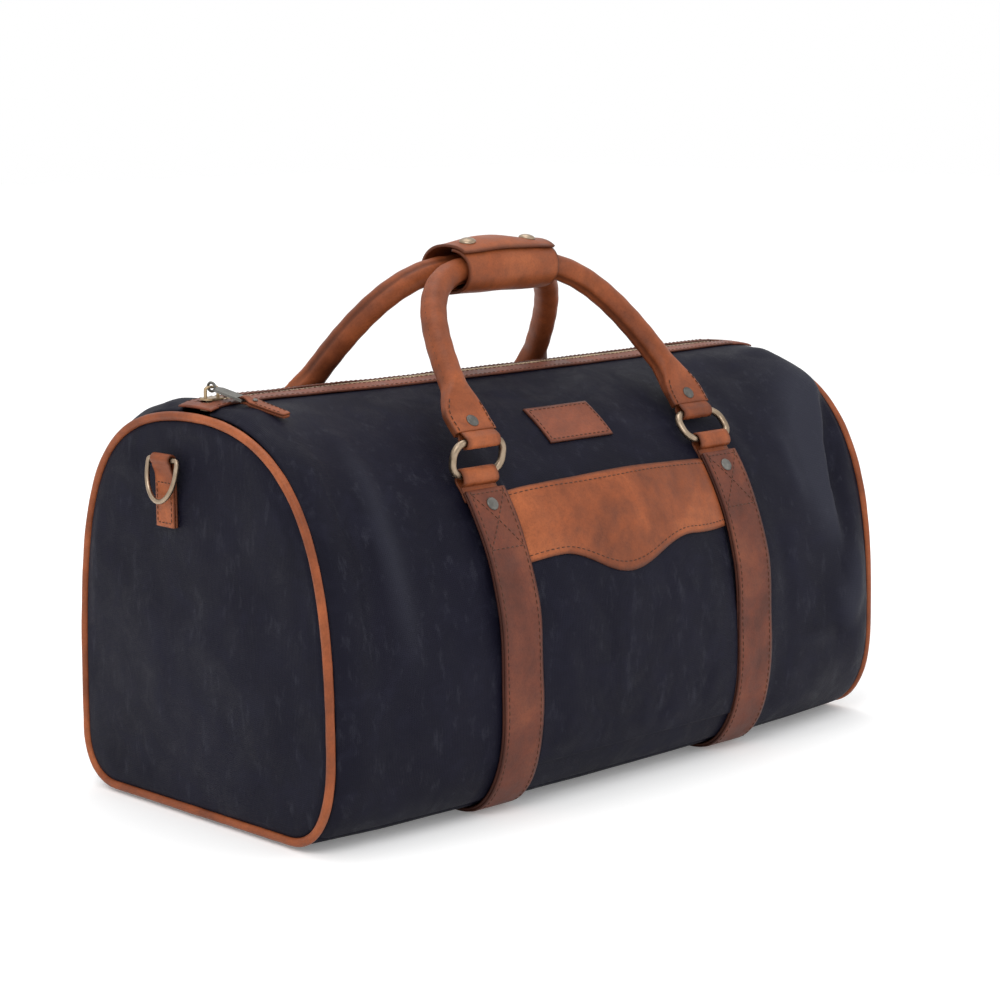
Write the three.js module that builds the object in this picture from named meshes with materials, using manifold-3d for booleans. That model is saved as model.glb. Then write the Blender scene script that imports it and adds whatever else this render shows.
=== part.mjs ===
// Soft weekender bag: waxed canvas body, leather straps, rolled handles, metal-tooth zip.
//
// Frame: millimetres, +Z up, X along the bag, front face towards -Y.
// The origin is on the floor, under the middle of the bag.
import * as THREE from 'three';
import { mergeVertices } from 'three/addons/utils/BufferGeometryUtils.js';
import Module from 'manifold-3d';

const wasm = await Module();
wasm.setup();

// ---------------------------------------------------------------- driving dimensions
const HALF_LENGTH = 292; // half of the bag's length, over the end piping
const CLEAR = 0.4; // gap kept between pieces that touch
const FRONT = -1; // sign of Y on each side
const BACK = 1;
const LEFT = -1; // sign of X at each end
const RIGHT = 1;

const CANVAS = 2.2; // canvas with its facing
const LEATHER = 2.4;
const FLOOR_GAP = CLEAR + LEATHER; // the straps run under the canvas base and touch the floor
const LINING = 1.2;

// Cross-sections at an end and in the middle: flat base, bulged side, arched top.
const END_SECTION = { halfBase: 100, halfSide: 144, sideHeight: 68, rise: 122, crownReach: 127, crown: 292 };
const MIDDLE_SECTION = {
  halfBase: 112, halfSide: 160, sideHeight: 84, rise: 198, crownReach: 4, crown: 299,
};
const SIDE_BULGE_POWER = 2.6;
const CROWN_POWER = 24; // the crown stays level until close to the end panels
const CORNER_ROUNDNESS = 0.62;

const PIPING_RADIUS = 3;
const END_DOME = 5; // how far an end panel bows outwards

const SEAM = 1.28; // place of the base seam, see sectionPoint
const SHOULDER = 72; // half-width at which the mouth starts to fold
const FACING_OUTER = 18.5; // leather strips beside the zip
const FACING_INNER = 6.5;
const TAPE_INNER = 3.9;
const TEETH_OUTER = 3.5;
const TEETH_INNER = 0.8;
const MOUTH_LEFT = -279; // ends of the part of the zip that opens
const MOUTH_RIGHT = 262;

const STRAP_X = 125; // middle of each strap, ring and handle end
const STRAP_WIDTH = 38;
const STRAP_TOP = 229; // height at which the straps end, below the rings
const RING_RISE = 10; // height of a ring's lower wire over the strap's end

const RING = { halfWidth: 24, halfHeight: 12, corner: 10, wire: 2.75 };
const CHAPE = { width: 34, leather: 2.2, tail: 24, bore: RING.wire + 1.1 };
const HANDLE_CHAPE = { width: 31, tail: 18 };

const HANDLE_X = STRAP_X - 1; // middle of a handle's flat end
const HANDLE_RADIUS = 9.75;
const CORE_RADIUS = 6.2;
const HANDLE_TOP = 377; // height of the middle of each grip
const HANDLE_APART = 11.5; // half of the distance between the two grips

const WRAP = { halfLength: 47.5, halfWidth: 27.5, halfHeight: 18.5, flapLift: 2.8 };

const SLIDER_X = -270; // the slider stands here when the bag is closed
const PULL_LENGTH = 66;

// ---------------------------------------------------------------- colours
const finish = (color, roughness, metalness = 0) =>
  new THREE.MeshStandardMaterial({ color, roughness, metalness });
const canvasLook = finish(0x23262f, 0.8);
const leatherLook = finish(0xb8683c, 0.55);
const trimLook = finish(0x7a4630, 0.6);
const liningLook = finish(0x8d8677, 0.9);
const tapeLook = finish(0x1c1a1c, 0.9);
const brassLook = finish(0xa8906a, 0.35, 1);
const steelLook = finish(0x6b6b66, 0.4, 1);
const boardLook = finish(0x2c2a28, 0.9);
const cordLook = finish(0xc9bfa5, 0.9);

const bag = new THREE.Group();

function addPiece(name, geometry, look) {
  const mesh = new THREE.Mesh(geometry, look);
  mesh.name = name;
  bag.add(mesh);
  return mesh;
}

// ---------------------------------------------------------------- general solids
const mix = THREE.MathUtils.lerp;

/** Six times the volume that a list of triangles encloses, negative if they face inwards. */
function signedVolume(points, faces) {
  const cross = new THREE.Vector3();
  const share = ([a, b, c]) => points[a].dot(cross.crossVectors(points[b], points[c]));
  return faces.reduce((sum, face) => sum + share(face), 0);
}

/** A closed geometry from points and triangles, turned so that its faces point out. */
function closedGeometry(points, faces) {
  const outward = signedVolume(points, faces) > 0;
  const geometry = new THREE.BufferGeometry().setFromPoints(points);
  geometry.setIndex(faces.flatMap(([a, b, c]) => (outward ? [a, b, c] : [a, c, b])));
  return geometry;
}

/** A sheet with thickness: place(row, column, skin) gives a point on skin 0 or skin 1. */
function sheetSolid(rows, columns, place) {
  const points = [];
  for (const skin of [0, 1]) {
    for (let i = 0; i <= rows; i++) {
      for (let j = 0; j <= columns; j++) points.push(place(i, j, skin));
    }
  }
  const at = (i, j, skin) => (skin * (rows + 1) + i) * (columns + 1) + j;
  const faces = [];
  const quad = (a, b, c, d) => faces.push([a, b, c], [a, c, d]);
  for (let i = 0; i < rows; i++) {
    for (let j = 0; j < columns; j++) {
      quad(at(i, j, 0), at(i + 1, j, 0), at(i + 1, j + 1, 0), at(i, j + 1, 0));
      quad(at(i, j, 1), at(i, j + 1, 1), at(i + 1, j + 1, 1), at(i + 1, j, 1));
    }
    quad(at(i, 0, 0), at(i, 0, 1), at(i + 1, 0, 1), at(i + 1, 0, 0));
    quad(at(i, columns, 0), at(i + 1, columns, 0), at(i + 1, columns, 1), at(i, columns, 1));
  }
  for (let j = 0; j < columns; j++) {
    quad(at(0, j, 0), at(0, j + 1, 0), at(0, j + 1, 1), at(0, j, 1));
    quad(at(rows, j, 0), at(rows, j, 1), at(rows, j + 1, 1), at(rows, j + 1, 0));
  }
  return closedGeometry(points, faces);
}

/** Joins loops of equal length into a skin, then closes it: end to end, or with a lid on each end. */
function loftSolid(loops, endless = false) {
  const size = loops[0].length;
  const points = loops.flat();
  const faces = [];
  const spans = endless ? loops.length : loops.length - 1;
  for (let i = 0; i < spans; i++) {
    const here = i * size;
    const next = ((i + 1) % loops.length) * size;
    for (let j = 0; j < size; j++) {
      const k = (j + 1) % size;
      faces.push([here + j, here + k, next + k], [here + j, next + k, next + j]);
    }
  }
  if (!endless) {
    const last = (loops.length - 1) * size;
    for (let j = 1; j < size - 1; j++) {
      faces.push([0, j + 1, j], [last, last + j, last + j + 1]);
    }
  }
  return closedGeometry(points, faces);
}

/**
 * Sweeps a section along a path. section(i) lists [across, along normal] pairs, and normal is one
 * direction or one for each point.
 */
function sweepPath(path, normal, section, endless = false) {
  return path.map((point, i) => {
    const before = path[endless ? (i + path.length - 1) % path.length : Math.max(i - 1, 0)];
    const after = path[endless ? (i + 1) % path.length : Math.min(i + 1, path.length - 1)];
    const tangent = new THREE.Vector3().subVectors(after, before).normalize();
    const off = Array.isArray(normal) ? normal[i] : normal;
    const across = new THREE.Vector3().crossVectors(tangent, off).normalize();
    const place = ([a, b]) => point.clone().addScaledVector(across, a).addScaledVector(off, b);
    return section(i).map(place);
  });
}

/** Points of an oval section; power 2 is an ellipse, and more is boxier. */
function ovalSection(halfAcross, halfAlong, sides, power = 2) {
  const soften = (value) => Math.sign(value) * Math.abs(value) ** (2 / power);
  return Array.from({ length: sides }, (_, k) => {
    const angle = (2 * Math.PI * (k + 0.5)) / sides;
    return [halfAcross * soften(Math.cos(angle)), halfAlong * soften(Math.sin(angle))];
  });
}

/** Rounded rectangle in its own plane, as [x, y] pairs. */
function roundedLoop(halfWidth, halfHeight, corner, cornerSteps) {
  const loop = [];
  const centres = [[1, 1], [-1, 1], [-1, -1], [1, -1]];
  centres.forEach(([sx, sy], quarter) => {
    for (let k = 0; k <= cornerSteps; k++) {
      const angle = (Math.PI / 2) * (quarter + k / cornerSteps);
      const x = sx * (halfWidth - corner) + corner * Math.cos(angle);
      const y = sy * (halfHeight - corner) + corner * Math.sin(angle);
      loop.push([x, y]);
    }
  });
  return loop;
}

function toManifold(geometry) {
  const bare = geometry.clone();
  bare.deleteAttribute('normal');
  bare.deleteAttribute('uv');
  const merged = mergeVertices(bare, 1e-4);
  return new wasm.Manifold(new wasm.Mesh({
    numProp: 3,
    vertProperties: new Float32Array(merged.attributes.position.array),
    triVerts: new Uint32Array(merged.index.array),
  }));
}

function fromManifold(solid) {
  const mesh = solid.getMesh();
  const geometry = new THREE.BufferGeometry();
  geometry.setAttribute('position', new THREE.BufferAttribute(new Float32Array(mesh.vertProperties), 3));
  geometry.setIndex(Array.from(mesh.triVerts));
  return geometry;
}

function joined(geometries) {
  return fromManifold(geometries.map(toManifold).reduce((sum, next) => sum.add(next)));
}

/** A round hole for a flat shape, turned by half a step so that it lines up with no straight edge. */
function roundHole(radius, steps = 14) {
  const points = Array.from({ length: steps }, (_, k) => {
    const angle = (-2 * Math.PI * (k + 0.45)) / steps;
    return new THREE.Vector2(radius * Math.cos(angle), radius * Math.sin(angle));
  });
  return new THREE.Path(points);
}

/** A round headed stud, seated at a point and facing along a direction. */
function studGeometry(radius, height, point, direction, sides = 14) {
  const cap = [[0, 0], [radius, 0], [radius, height * 0.45], [radius * 0.72, height], [0, height * 1.08]];
  const geometry = new THREE.LatheGeometry(cap.map(([r, h]) => new THREE.Vector2(r, h)), sides);
  const turn = new THREE.Quaternion().setFromUnitVectors(new THREE.Vector3(0, 1, 0), direction);
  return geometry.applyQuaternion(turn).translate(point.x, point.y, point.z);
}

// ---------------------------------------------------------------- the bag's surface
function sectionAt(x) {
  const reach = Math.min(Math.abs(x) / HALF_LENGTH, 1);
  const bulge = 1 - reach ** SIDE_BULGE_POWER;
  const level = 1 - reach ** CROWN_POWER;
  const size = {};
  for (const key of Object.keys(END_SECTION)) {
    size[key] = mix(END_SECTION[key], MIDDLE_SECTION[key], key === 'crown' ? level : bulge);
  }
  const point = (y, z) => new THREE.Vector2(y, z);
  const cornerOut = mix(size.halfBase, size.halfSide, CORNER_ROUNDNESS);
  const cornerUp = mix(FLOOR_GAP, size.sideHeight, 1 - CORNER_ROUNDNESS);
  return [
    new THREE.LineCurve(point(0, FLOOR_GAP), point(size.halfBase, FLOOR_GAP)),
    new THREE.CubicBezierCurve(
      point(size.halfBase, FLOOR_GAP),
      point(cornerOut, FLOOR_GAP),
      point(size.halfSide, cornerUp),
      point(size.halfSide, size.sideHeight),
    ),
    new THREE.CubicBezierCurve(
      point(size.halfSide, size.sideHeight),
      point(size.halfSide, size.sideHeight + size.rise),
      point(size.crownReach, size.crown),
      point(0, size.crown),
    ),
  ];
}

/**
 * A point on the bag's outside, moved out by offset. place runs 0 to 1 along the flat base from its
 * middle, 1 to 2 round the bottom corner, and 2 to 3 up the side to the crown. side is FRONT or BACK.
 */
function sectionPoint(x, place, side, offset = 0) {
  const curve = sectionAt(x)[Math.min(Math.floor(place), 2)];
  const along = place - Math.min(Math.floor(place), 2);
  const tangent = curve.getTangent(along);
  const spot = curve.getPoint(along);
  return new THREE.Vector3(x, side * (spot.x + tangent.y * offset), spot.y - tangent.x * offset);
}

/** Outward direction of the bag's surface at a place. */
function sectionNormal(x, place, side) {
  return sectionPoint(x, place, side, 1).sub(sectionPoint(x, place, side)).normalize();
}

/** The place on the upper side where a measure falls to a target, found by halving. */
function placeWhere(test) {
  let low = 2;
  let high = 3;
  for (let k = 0; k < 40; k++) {
    const middle = (low + high) / 2;
    if (test(middle)) low = middle;
    else high = middle;
  }
  return low;
}

const placeAtHalfWidth = (x, halfWidth) =>
  placeWhere((p) => Math.abs(sectionPoint(x, p, BACK).y) > halfWidth);
const placeAtHeight = (x, height) => placeWhere((p) => sectionPoint(x, p, BACK).z < height);

/**
 * A shell on the bag's surface. rangeAt(x) gives its first and last place, and offsets(x, share) its
 * outer and inner offset, where share runs 0 to 1 between them.
 */
function shell({ side, from, to, columns, rows, rangeAt, offsets }) {
  return sheetSolid(rows, columns, (i, j, skin) => {
    const x = mix(from, to, j / columns);
    const [first, last] = rangeAt(x);
    const share = i / rows;
    return sectionPoint(x, mix(first, last, share), side, offsets(x, share)[skin]);
  });
}

const PANEL_END = HALF_LENGTH - 2 * PIPING_RADIUS - CLEAR - 1;
const canvasOffsets = () => [0, -CANVAS];

function bodyPanel(side) {
  return shell({
    side,
    from: -PANEL_END,
    to: PANEL_END,
    columns: 14,
    rows: 10,
    rangeAt: (x) => [SEAM + 0.01, placeAtHalfWidth(x, SHOULDER + CLEAR)],
    offsets: canvasOffsets,
  });
}

function mouthPanel(side) {
  return shell({
    side,
    from: -PANEL_END,
    to: PANEL_END,
    columns: 14,
    rows: 3,
    rangeAt: (x) => [placeAtHalfWidth(x, SHOULDER), placeAtHalfWidth(x, FACING_OUTER + CLEAR)],
    offsets: canvasOffsets,
  });
}

/** A shell that runs under the bag, from a place at the front to the same place at the back. */
function underShell(from, to, columns, reach, rows, offsets) {
  return sheetSolid(rows, columns, (i, j, skin) => {
    const x = mix(from, to, j / columns);
    const place = mix(-reach(x), reach(x), i / rows);
    const share = Math.abs(place) / reach(x);
    return sectionPoint(x, Math.abs(place), place < 0 ? FRONT : BACK, offsets(x, share)[skin]);
  });
}

addPiece('front_panel', bodyPanel(FRONT), canvasLook);
addPiece('back_panel', bodyPanel(BACK), canvasLook);
const basePanel = underShell(-PANEL_END, PANEL_END, 12, () => SEAM - 0.01, 8, canvasOffsets);
addPiece('base_panel', basePanel, canvasLook);
addPiece('mouth_panel_front', mouthPanel(FRONT), canvasLook);
addPiece('mouth_panel_back', mouthPanel(BACK), canvasLook);

// ---------------------------------------------------------------- end panels and piping
/** The closed outline of an end, moved in by inset, as [y, z] pairs from the middle of the base. */
function endOutline(inset, cornerSteps, sideSteps) {
  const half = [];
  const x = HALF_LENGTH;
  for (let k = 0; k < cornerSteps; k++) half.push(1 + k / cornerSteps);
  for (let k = 0; k < sideSteps; k++) half.push(2 + k / sideSteps);
  const spot = (place, side) => {
    const p = sectionPoint(x, place, side, -inset);
    return [p.y, p.z];
  };
  const back = half.map((p) => spot(p, BACK));
  const front = half.map((p) => spot(p, FRONT)).reverse();
  return [spot(0, BACK), ...back, spot(3, BACK), ...front];
}

const END_MIDDLE_Z = (FLOOR_GAP + END_SECTION.crown) / 2;

/** An end panel: rings of the outline shrunk to its middle, bowed outwards and thickened. */
function endPanel(end) {
  const outline = endOutline(2 * PIPING_RADIUS + CLEAR + 0.8, 5, 11);
  const shrink = [1, 0.75, 0.4];
  const ringAt = (scale, x) =>
    outline.map(([y, z]) => new THREE.Vector3(x, y * scale, mix(END_MIDDLE_Z, z, scale)));
  const dome = (scale) => END_DOME * (1 - scale ** 2);
  const outside = shrink.map((s) => ringAt(s, end * (HALF_LENGTH - 1.2 + dome(s))));
  const inside = shrink.map((s) => ringAt(s, end * (HALF_LENGTH - 1.2 - CANVAS + dome(s))));
  return loftSolid([...outside.reverse(), ...inside]);
}

function piping(end) {
  const x = end * (HALF_LENGTH - PIPING_RADIUS);
  const path = endOutline(PIPING_RADIUS, 6, 15).map(([y, z]) => new THREE.Vector3(x, y, z));
  const normal = new THREE.Vector3(1, 0, 0);
  const section = () => ovalSection(PIPING_RADIUS, PIPING_RADIUS, 7);
  return loftSolid(sweepPath(path, normal, section, true), true);
}

for (const [end, name] of [[LEFT, 'left'], [RIGHT, 'right']]) {
  addPiece(`end_panel_${name}`, endPanel(end), canvasLook);
  addPiece(`piping_${name}`, piping(end), leatherLook);
}

// ---------------------------------------------------------------- inside
const LINING_SLACK = 2; // the lining hangs this far inside the canvas
const LINING_OUT = -(CANVAS + LINING_SLACK);
const LINING_IN = LINING_OUT - LINING;
const LINING_END = PANEL_END - 4;
const BOARD = 3;

/** The lining is one tub: a trough under and up both sides, with a wall at each end. */
function liningTub() {
  const top = (x) => placeAtHalfWidth(x, SHOULDER + 4);
  const lift = (share) => -(BOARD + CLEAR) * THREE.MathUtils.smoothstep(0.5 - share, 0, 0.12);
  const trough = underShell(-LINING_END, LINING_END, 10, top, 22, (x, share) => [
    LINING_OUT + lift(share),
    LINING_IN + lift(share),
  ]);
  const wallTop = 250;
  const wallBottom = FLOOR_GAP + BOARD + CANVAS + 2 * CLEAR + LINING / 2;
  const places = [1, 1.25, 1.5, 1.75, 2, 2.1, 2.2, 2.3, 2.4, 2.5, 2.6, 2.7];
  const wall = (end) => {
    const loop = (x) => {
      const rim = (place, side) => sectionPoint(x, place, side, LINING_OUT - LINING / 2);
      const back = places.map((place) => rim(place, BACK));
      const front = places.map((place) => rim(place, FRONT)).reverse();
      return [...back, ...front].map((p) => p.setZ(THREE.MathUtils.clamp(p.z, wallBottom, wallTop)));
    };
    return loftSolid([loop(end * LINING_END), loop(end * (LINING_END - LINING))]);
  };
  return joined([trough, wall(LEFT), wall(RIGHT)]);
}

function baseBoard() {
  const halfWidth = END_SECTION.halfBase - 8;
  const outline = roundedLoop(PANEL_END - 14, halfWidth, 24, 4).map(([x, y]) => new THREE.Vector2(x, y));
  const flat = { depth: BOARD, bevelEnabled: false };
  const geometry = new THREE.ExtrudeGeometry(new THREE.Shape(outline), flat);
  return geometry.translate(0, 0, FLOOR_GAP + CANVAS + CLEAR);
}

addPiece('lining', liningTub(), liningLook);
addPiece('base_board', baseBoard(), boardLook);

// ---------------------------------------------------------------- zip
const ZIP_Z = MIDDLE_SECTION.crown; // the canvas crown beside the zip

/** A straight strip beside the zip: between two half-widths, and between two heights over the crown. */
function zipStrip(side, inner, outer, low, high) {
  const slope = 0.1; // the crown falls away from the zip by this much
  const top = (width, height) => ZIP_Z + height - slope * (width - inner);
  const corners = [[inner, low], [outer, low], [outer, high], [inner, high]];
  const at = (x, [width, height]) => new THREE.Vector3(x, side * width, top(width, height));
  const loop = (x) => corners.map((corner) => at(x, corner));
  return loftSolid([loop(MOUTH_LEFT), loop(MOUTH_RIGHT)]);
}

for (const [side, name] of [[FRONT, 'front'], [BACK, 'back']]) {
  addPiece(`zip_facing_${name}`, zipStrip(side, FACING_INNER, FACING_OUTER, -0.6, 1.4), trimLook);
  addPiece(`zip_tape_${name}`, zipStrip(side, TAPE_INNER, FACING_OUTER - 4, -2.2, -1.2), tapeLook);
  addPiece(`zip_teeth_${name}`, zipStrip(side, TEETH_INNER, TEETH_OUTER, -2.9, 0.2), brassLook);
}

/** The leather end of the zip: it drops from the open part to the end panel. */
function zipEndTab(end) {
  const start = end < 0 ? MOUTH_LEFT - CLEAR : MOUTH_RIGHT + CLEAR;
  const finishX = end * (PANEL_END - 1);
  const steps = 5;
  return sheetSolid(steps, 4, (i, j, skin) => {
    const x = mix(start, finishX, i / steps);
    const y = mix(-FACING_OUTER, FACING_OUTER, j / 4);
    const crown = sectionPoint(x, placeAtHalfWidth(x, Math.abs(y)), BACK).z;
    return new THREE.Vector3(x, y, crown + (skin ? -0.8 : 1.5));
  });
}

addPiece('zip_end_tab_left', zipEndTab(LEFT), trimLook);
addPiece('zip_end_tab_right', zipEndTab(RIGHT), trimLook);

// Slider: two plates joined by a wedge between the teeth, with a tall bail for the pull.
const BAIL_Z = ZIP_Z + 9.6;
const BAIL_HALF = 5.5;

function boxAt(x, y, z, sx, sy, sz) {
  return new THREE.BoxGeometry(sx, sy, sz).translate(x, y, z);
}

function sliderGeometry() {
  const plateOutline = new THREE.Shape();
  plateOutline.moveTo(-7.5, -3.6);
  plateOutline.lineTo(-4, -5.6);
  plateOutline.lineTo(5.5, -5.6);
  plateOutline.lineTo(7.5, -4);
  plateOutline.lineTo(7.5, 4);
  plateOutline.lineTo(5.5, 5.6);
  plateOutline.lineTo(-4, 5.6);
  plateOutline.lineTo(-7.5, 3.6);
  const plate = (z) => new THREE.ExtrudeGeometry(plateOutline, { depth: 1.5, bevelEnabled: false })
    .translate(SLIDER_X, 0, ZIP_Z + z);
  const wedge = boxAt(SLIDER_X + 1, 0, ZIP_Z - 2, 6, 0.9, 8.4);
  const bailPath = new THREE.CurvePath();
  const spot = (x, z) => new THREE.Vector3(SLIDER_X + x, 0, z);
  const foot = (end) => spot(end * BAIL_HALF, ZIP_Z + 2);
  const bendStart = (end) => spot(end * BAIL_HALF, BAIL_Z - 2);
  const corner = (end) => spot(end * BAIL_HALF, BAIL_Z);
  const bendEnd = (end) => spot(end * 3, BAIL_Z);
  bailPath.add(new THREE.LineCurve3(foot(LEFT), bendStart(LEFT)));
  bailPath.add(new THREE.QuadraticBezierCurve3(bendStart(LEFT), corner(LEFT), bendEnd(LEFT)));
  bailPath.add(new THREE.LineCurve3(bendEnd(LEFT), bendEnd(RIGHT)));
  bailPath.add(new THREE.QuadraticBezierCurve3(bendEnd(RIGHT), corner(RIGHT), bendStart(RIGHT)));
  bailPath.add(new THREE.LineCurve3(bendStart(RIGHT), foot(RIGHT)));
  const stations = [0, 0.18, 0.27, 0.34, 0.4, 0.6, 0.66, 0.73, 0.82, 1].map((t) => bailPath.getPoint(t));
  const bail = loftSolid(sweepPath(stations, new THREE.Vector3(0, 1, 0), () => ovalSection(1, 1.6, 8)));
  return joined([plate(0.8), plate(-6.4), wedge, bail]);
}

addPiece('zip_slider', sliderGeometry(), brassLook);

// The pull hangs from the bail and lies down the front of the bag.
const pullPivot = new THREE.Vector3(SLIDER_X, 0, BAIL_Z);
const pullTip = (() => {
  const flat = new THREE.Vector3(0.28, -0.96, 0).setLength(PULL_LENGTH * 0.93);
  const x = pullPivot.x + flat.x;
  return sectionPoint(x, placeAtHalfWidth(x, Math.abs(flat.y)), FRONT, 8);
})();
const pullAlong = new THREE.Vector3().subVectors(pullTip, pullPivot).normalize();
const pullFlat = new THREE.Vector3(1, 0, 0).addScaledVector(pullAlong, -pullAlong.x).normalize();
const pullNormal = new THREE.Vector3().crossVectors(pullFlat, pullAlong).normalize();
if (pullNormal.z < 0) pullNormal.negate();

/** Puts a geometry made with X along the pull, Y across it and Z off its face into the bag's frame. */
function onPull(geometry) {
  const across = new THREE.Vector3().crossVectors(pullNormal, pullAlong);
  const basis = new THREE.Matrix4().makeBasis(pullAlong, across, pullNormal).setPosition(pullPivot);
  return geometry.applyMatrix4(basis);
}

function pullBar() {
  const shape = new THREE.Shape();
  shape.moveTo(3.6, -2.2);
  shape.lineTo(7, -4.6);
  shape.lineTo(30, -4.9);
  shape.lineTo(30, 4.9);
  shape.lineTo(7, 4.6);
  shape.lineTo(3.6, 2.2);
  const slot = new THREE.Path();
  slot.moveTo(25, -3.6);
  slot.lineTo(25, 3.6);
  slot.lineTo(28.4, 3.6);
  slot.lineTo(28.4, -3.6);
  shape.holes.push(slot);
  const blade = new THREE.ExtrudeGeometry(shape, { depth: 1.8, bevelEnabled: false }).translate(0, 0, -0.9);
  const eye = new THREE.TorusGeometry(3.1, 1, 7, 18).rotateX(Math.PI / 2);
  return onPull(joined([blade, eye]));
}

/** Folded leather: the fold passes through the bar's slot, and both layers run on to the tip. */
function pullTab() {
  const flatShape = (points) => new THREE.Shape(points.map(([x, y]) => new THREE.Vector2(x, y)));
  const half = [[25.7, 1.3], [26.3, 2.6], [28, 3.3], [30.5, 3.2], [34, 2.1], [36, 2.1]];
  const fold = flatShape([...half.map(([x, z]) => [x, -z]), ...[...half].reverse()]);
  const eye = [[27.7, 1.2], [30.4, 1.15], [31.4, 0], [30.4, -1.15], [27.7, -1.2]];
  fold.holes.push(new THREE.Path(eye.map(([x, z]) => new THREE.Vector2(x, z))));
  const foldSolid = new THREE.ExtrudeGeometry(fold, { depth: 6.4, bevelEnabled: false })
    .translate(0, 0, -3.2)
    .rotateX(Math.PI / 2);
  const edge = [[32.5, 3], [37, 6], [PULL_LENGTH - 1, 4.6], [PULL_LENGTH, 3.6]];
  const blade = flatShape([...edge.map(([x, y]) => [x, -y]), ...edge.reverse()]);
  const bladeSolid = new THREE.ExtrudeGeometry(blade, { depth: 4, bevelEnabled: false }).translate(0, 0, -2);
  return onPull(joined([foldSolid, bladeSolid]));
}

function pullRivet() {
  const seat = new THREE.Vector3(38, 0, 2 + CLEAR);
  return onPull(studGeometry(1.9, 0.9, seat, new THREE.Vector3(0, 0, 1), 10));
}

addPiece('zip_pull_bar', pullBar(), steelLook);
addPiece('zip_pull_tab', pullTab(), leatherLook);
addPiece('zip_pull_rivet', pullRivet(), steelLook);

// ---------------------------------------------------------------- straps, rings and their leather loops
const STRAP_OUT = CLEAR + LEATHER;
const HANDLE_TAIL_HALF = 1.3; // half-thickness of the tail between a handle end's two layers
const TAIL_OVER = CHAPE.leather + 4 * CLEAR; // the strap rises by this over a ring's leather loop

/** A strap runs from the front ring down, under the bag and up to the back ring. */
function strap(x) {
  const reach = (at) => placeAtHeight(at, STRAP_TOP);
  const lift = (share) => TAIL_OVER * THREE.MathUtils.smoothstep(share, 0.86, 0.91);
  const half = STRAP_WIDTH / 2;
  const offsets = (at, share) => [STRAP_OUT + lift(share), CLEAR + lift(share)];
  return underShell(x - half, x + half, 2, reach, 44, offsets);
}

// The front left ring stands up off the canvas, and the others lie along it.
const UPRIGHT_LEAN = THREE.MathUtils.degToRad(50);

/**
 * Middle of the wire that a strap's leather loop holds, with the canvas's own directions there: down it
 * and off it. up and facing are the ring's, along it and square to it, and high is its upper wire.
 */
function ringSeat(end, side) {
  const x = STRAP_X;
  const place = placeAtHeight(x, STRAP_TOP + RING_RISE);
  const offset = CLEAR + 0.2 + CHAPE.leather + CHAPE.bore;
  const low = sectionPoint(x, place, side, offset);
  const normal = sectionNormal(x, place, side);
  const along = new THREE.Vector3(0, -side * normal.z, Math.abs(normal.y));
  const lean = end === LEFT && side === FRONT ? UPRIGHT_LEAN : 0;
  const turned = (a, b) => a.clone().multiplyScalar(Math.cos(lean)).addScaledVector(b, Math.sin(lean));
  const up = turned(along, normal);
  const facing = turned(normal, along.clone().negate());
  const high = low.clone().addScaledVector(up, 2 * RING.halfHeight);
  return { low, high, up, facing, normal, down: along.negate() };
}

/** A handle's slope at x: from the line between its rings' upper wires to the grip. */
function handlePlane(side, x) {
  const share = (x + STRAP_X) / (2 * STRAP_X);
  const root = ringSeat(LEFT, side).high.lerp(ringSeat(RIGHT, side).high, share).setX(0);
  const grip = new THREE.Vector3(0, side * HANDLE_APART, HANDLE_TOP);
  const up = new THREE.Vector3().subVectors(grip, root);
  const length = up.length();
  up.normalize();
  const normal = new THREE.Vector3(0, side * up.z, -side * up.y);
  return { root, up, normal, length };
}

function ring(end, side) {
  const { low, up, facing } = ringSeat(end, side);
  const middle = low.clone().setX(end * STRAP_X).addScaledVector(up, RING.halfHeight);
  const path = roundedLoop(RING.halfWidth, RING.halfHeight, RING.corner, 5)
    .map(([a, b]) => middle.clone().addScaledVector(up, b).add(new THREE.Vector3(a, 0, 0)));
  return loftSolid(sweepPath(path, facing, () => ovalSection(RING.wire, RING.wire, 7), true), true);
}

/**
 * A leather loop round a ring's wire, with a tail. The profile lies in a plane across X: hub is the
 * wire's middle, and tail(t) gives the tail's two faces, from the hub outwards.
 */
function chape(x, hub, startAngle, tail, axes, width) {
  const [along, off] = axes;
  const rim = CHAPE.bore + CHAPE.leather;
  const at = (a, b) => new THREE.Vector2(a, b);
  const steps = 14;
  const arc = [];
  for (let k = 0; k <= steps; k++) {
    const angle = mix(startAngle, 2 * Math.PI - startAngle, k / steps);
    arc.push(at(rim * Math.cos(angle), rim * Math.sin(angle)));
  }
  const shape = new THREE.Shape([...arc, ...tail.map(([a, b]) => at(a, b))]);
  shape.holes.push(roundHole(CHAPE.bore));
  const solid = new THREE.ExtrudeGeometry(shape, { depth: width, bevelEnabled: false });
  const sideways = new THREE.Vector3().crossVectors(along, off);
  solid.translate(0, 0, -width / 2);
  const basis = new THREE.Matrix4().makeBasis(along, off, sideways);
  return solid.applyMatrix4(basis.setPosition(hub.clone().setX(x)));
}

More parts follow.
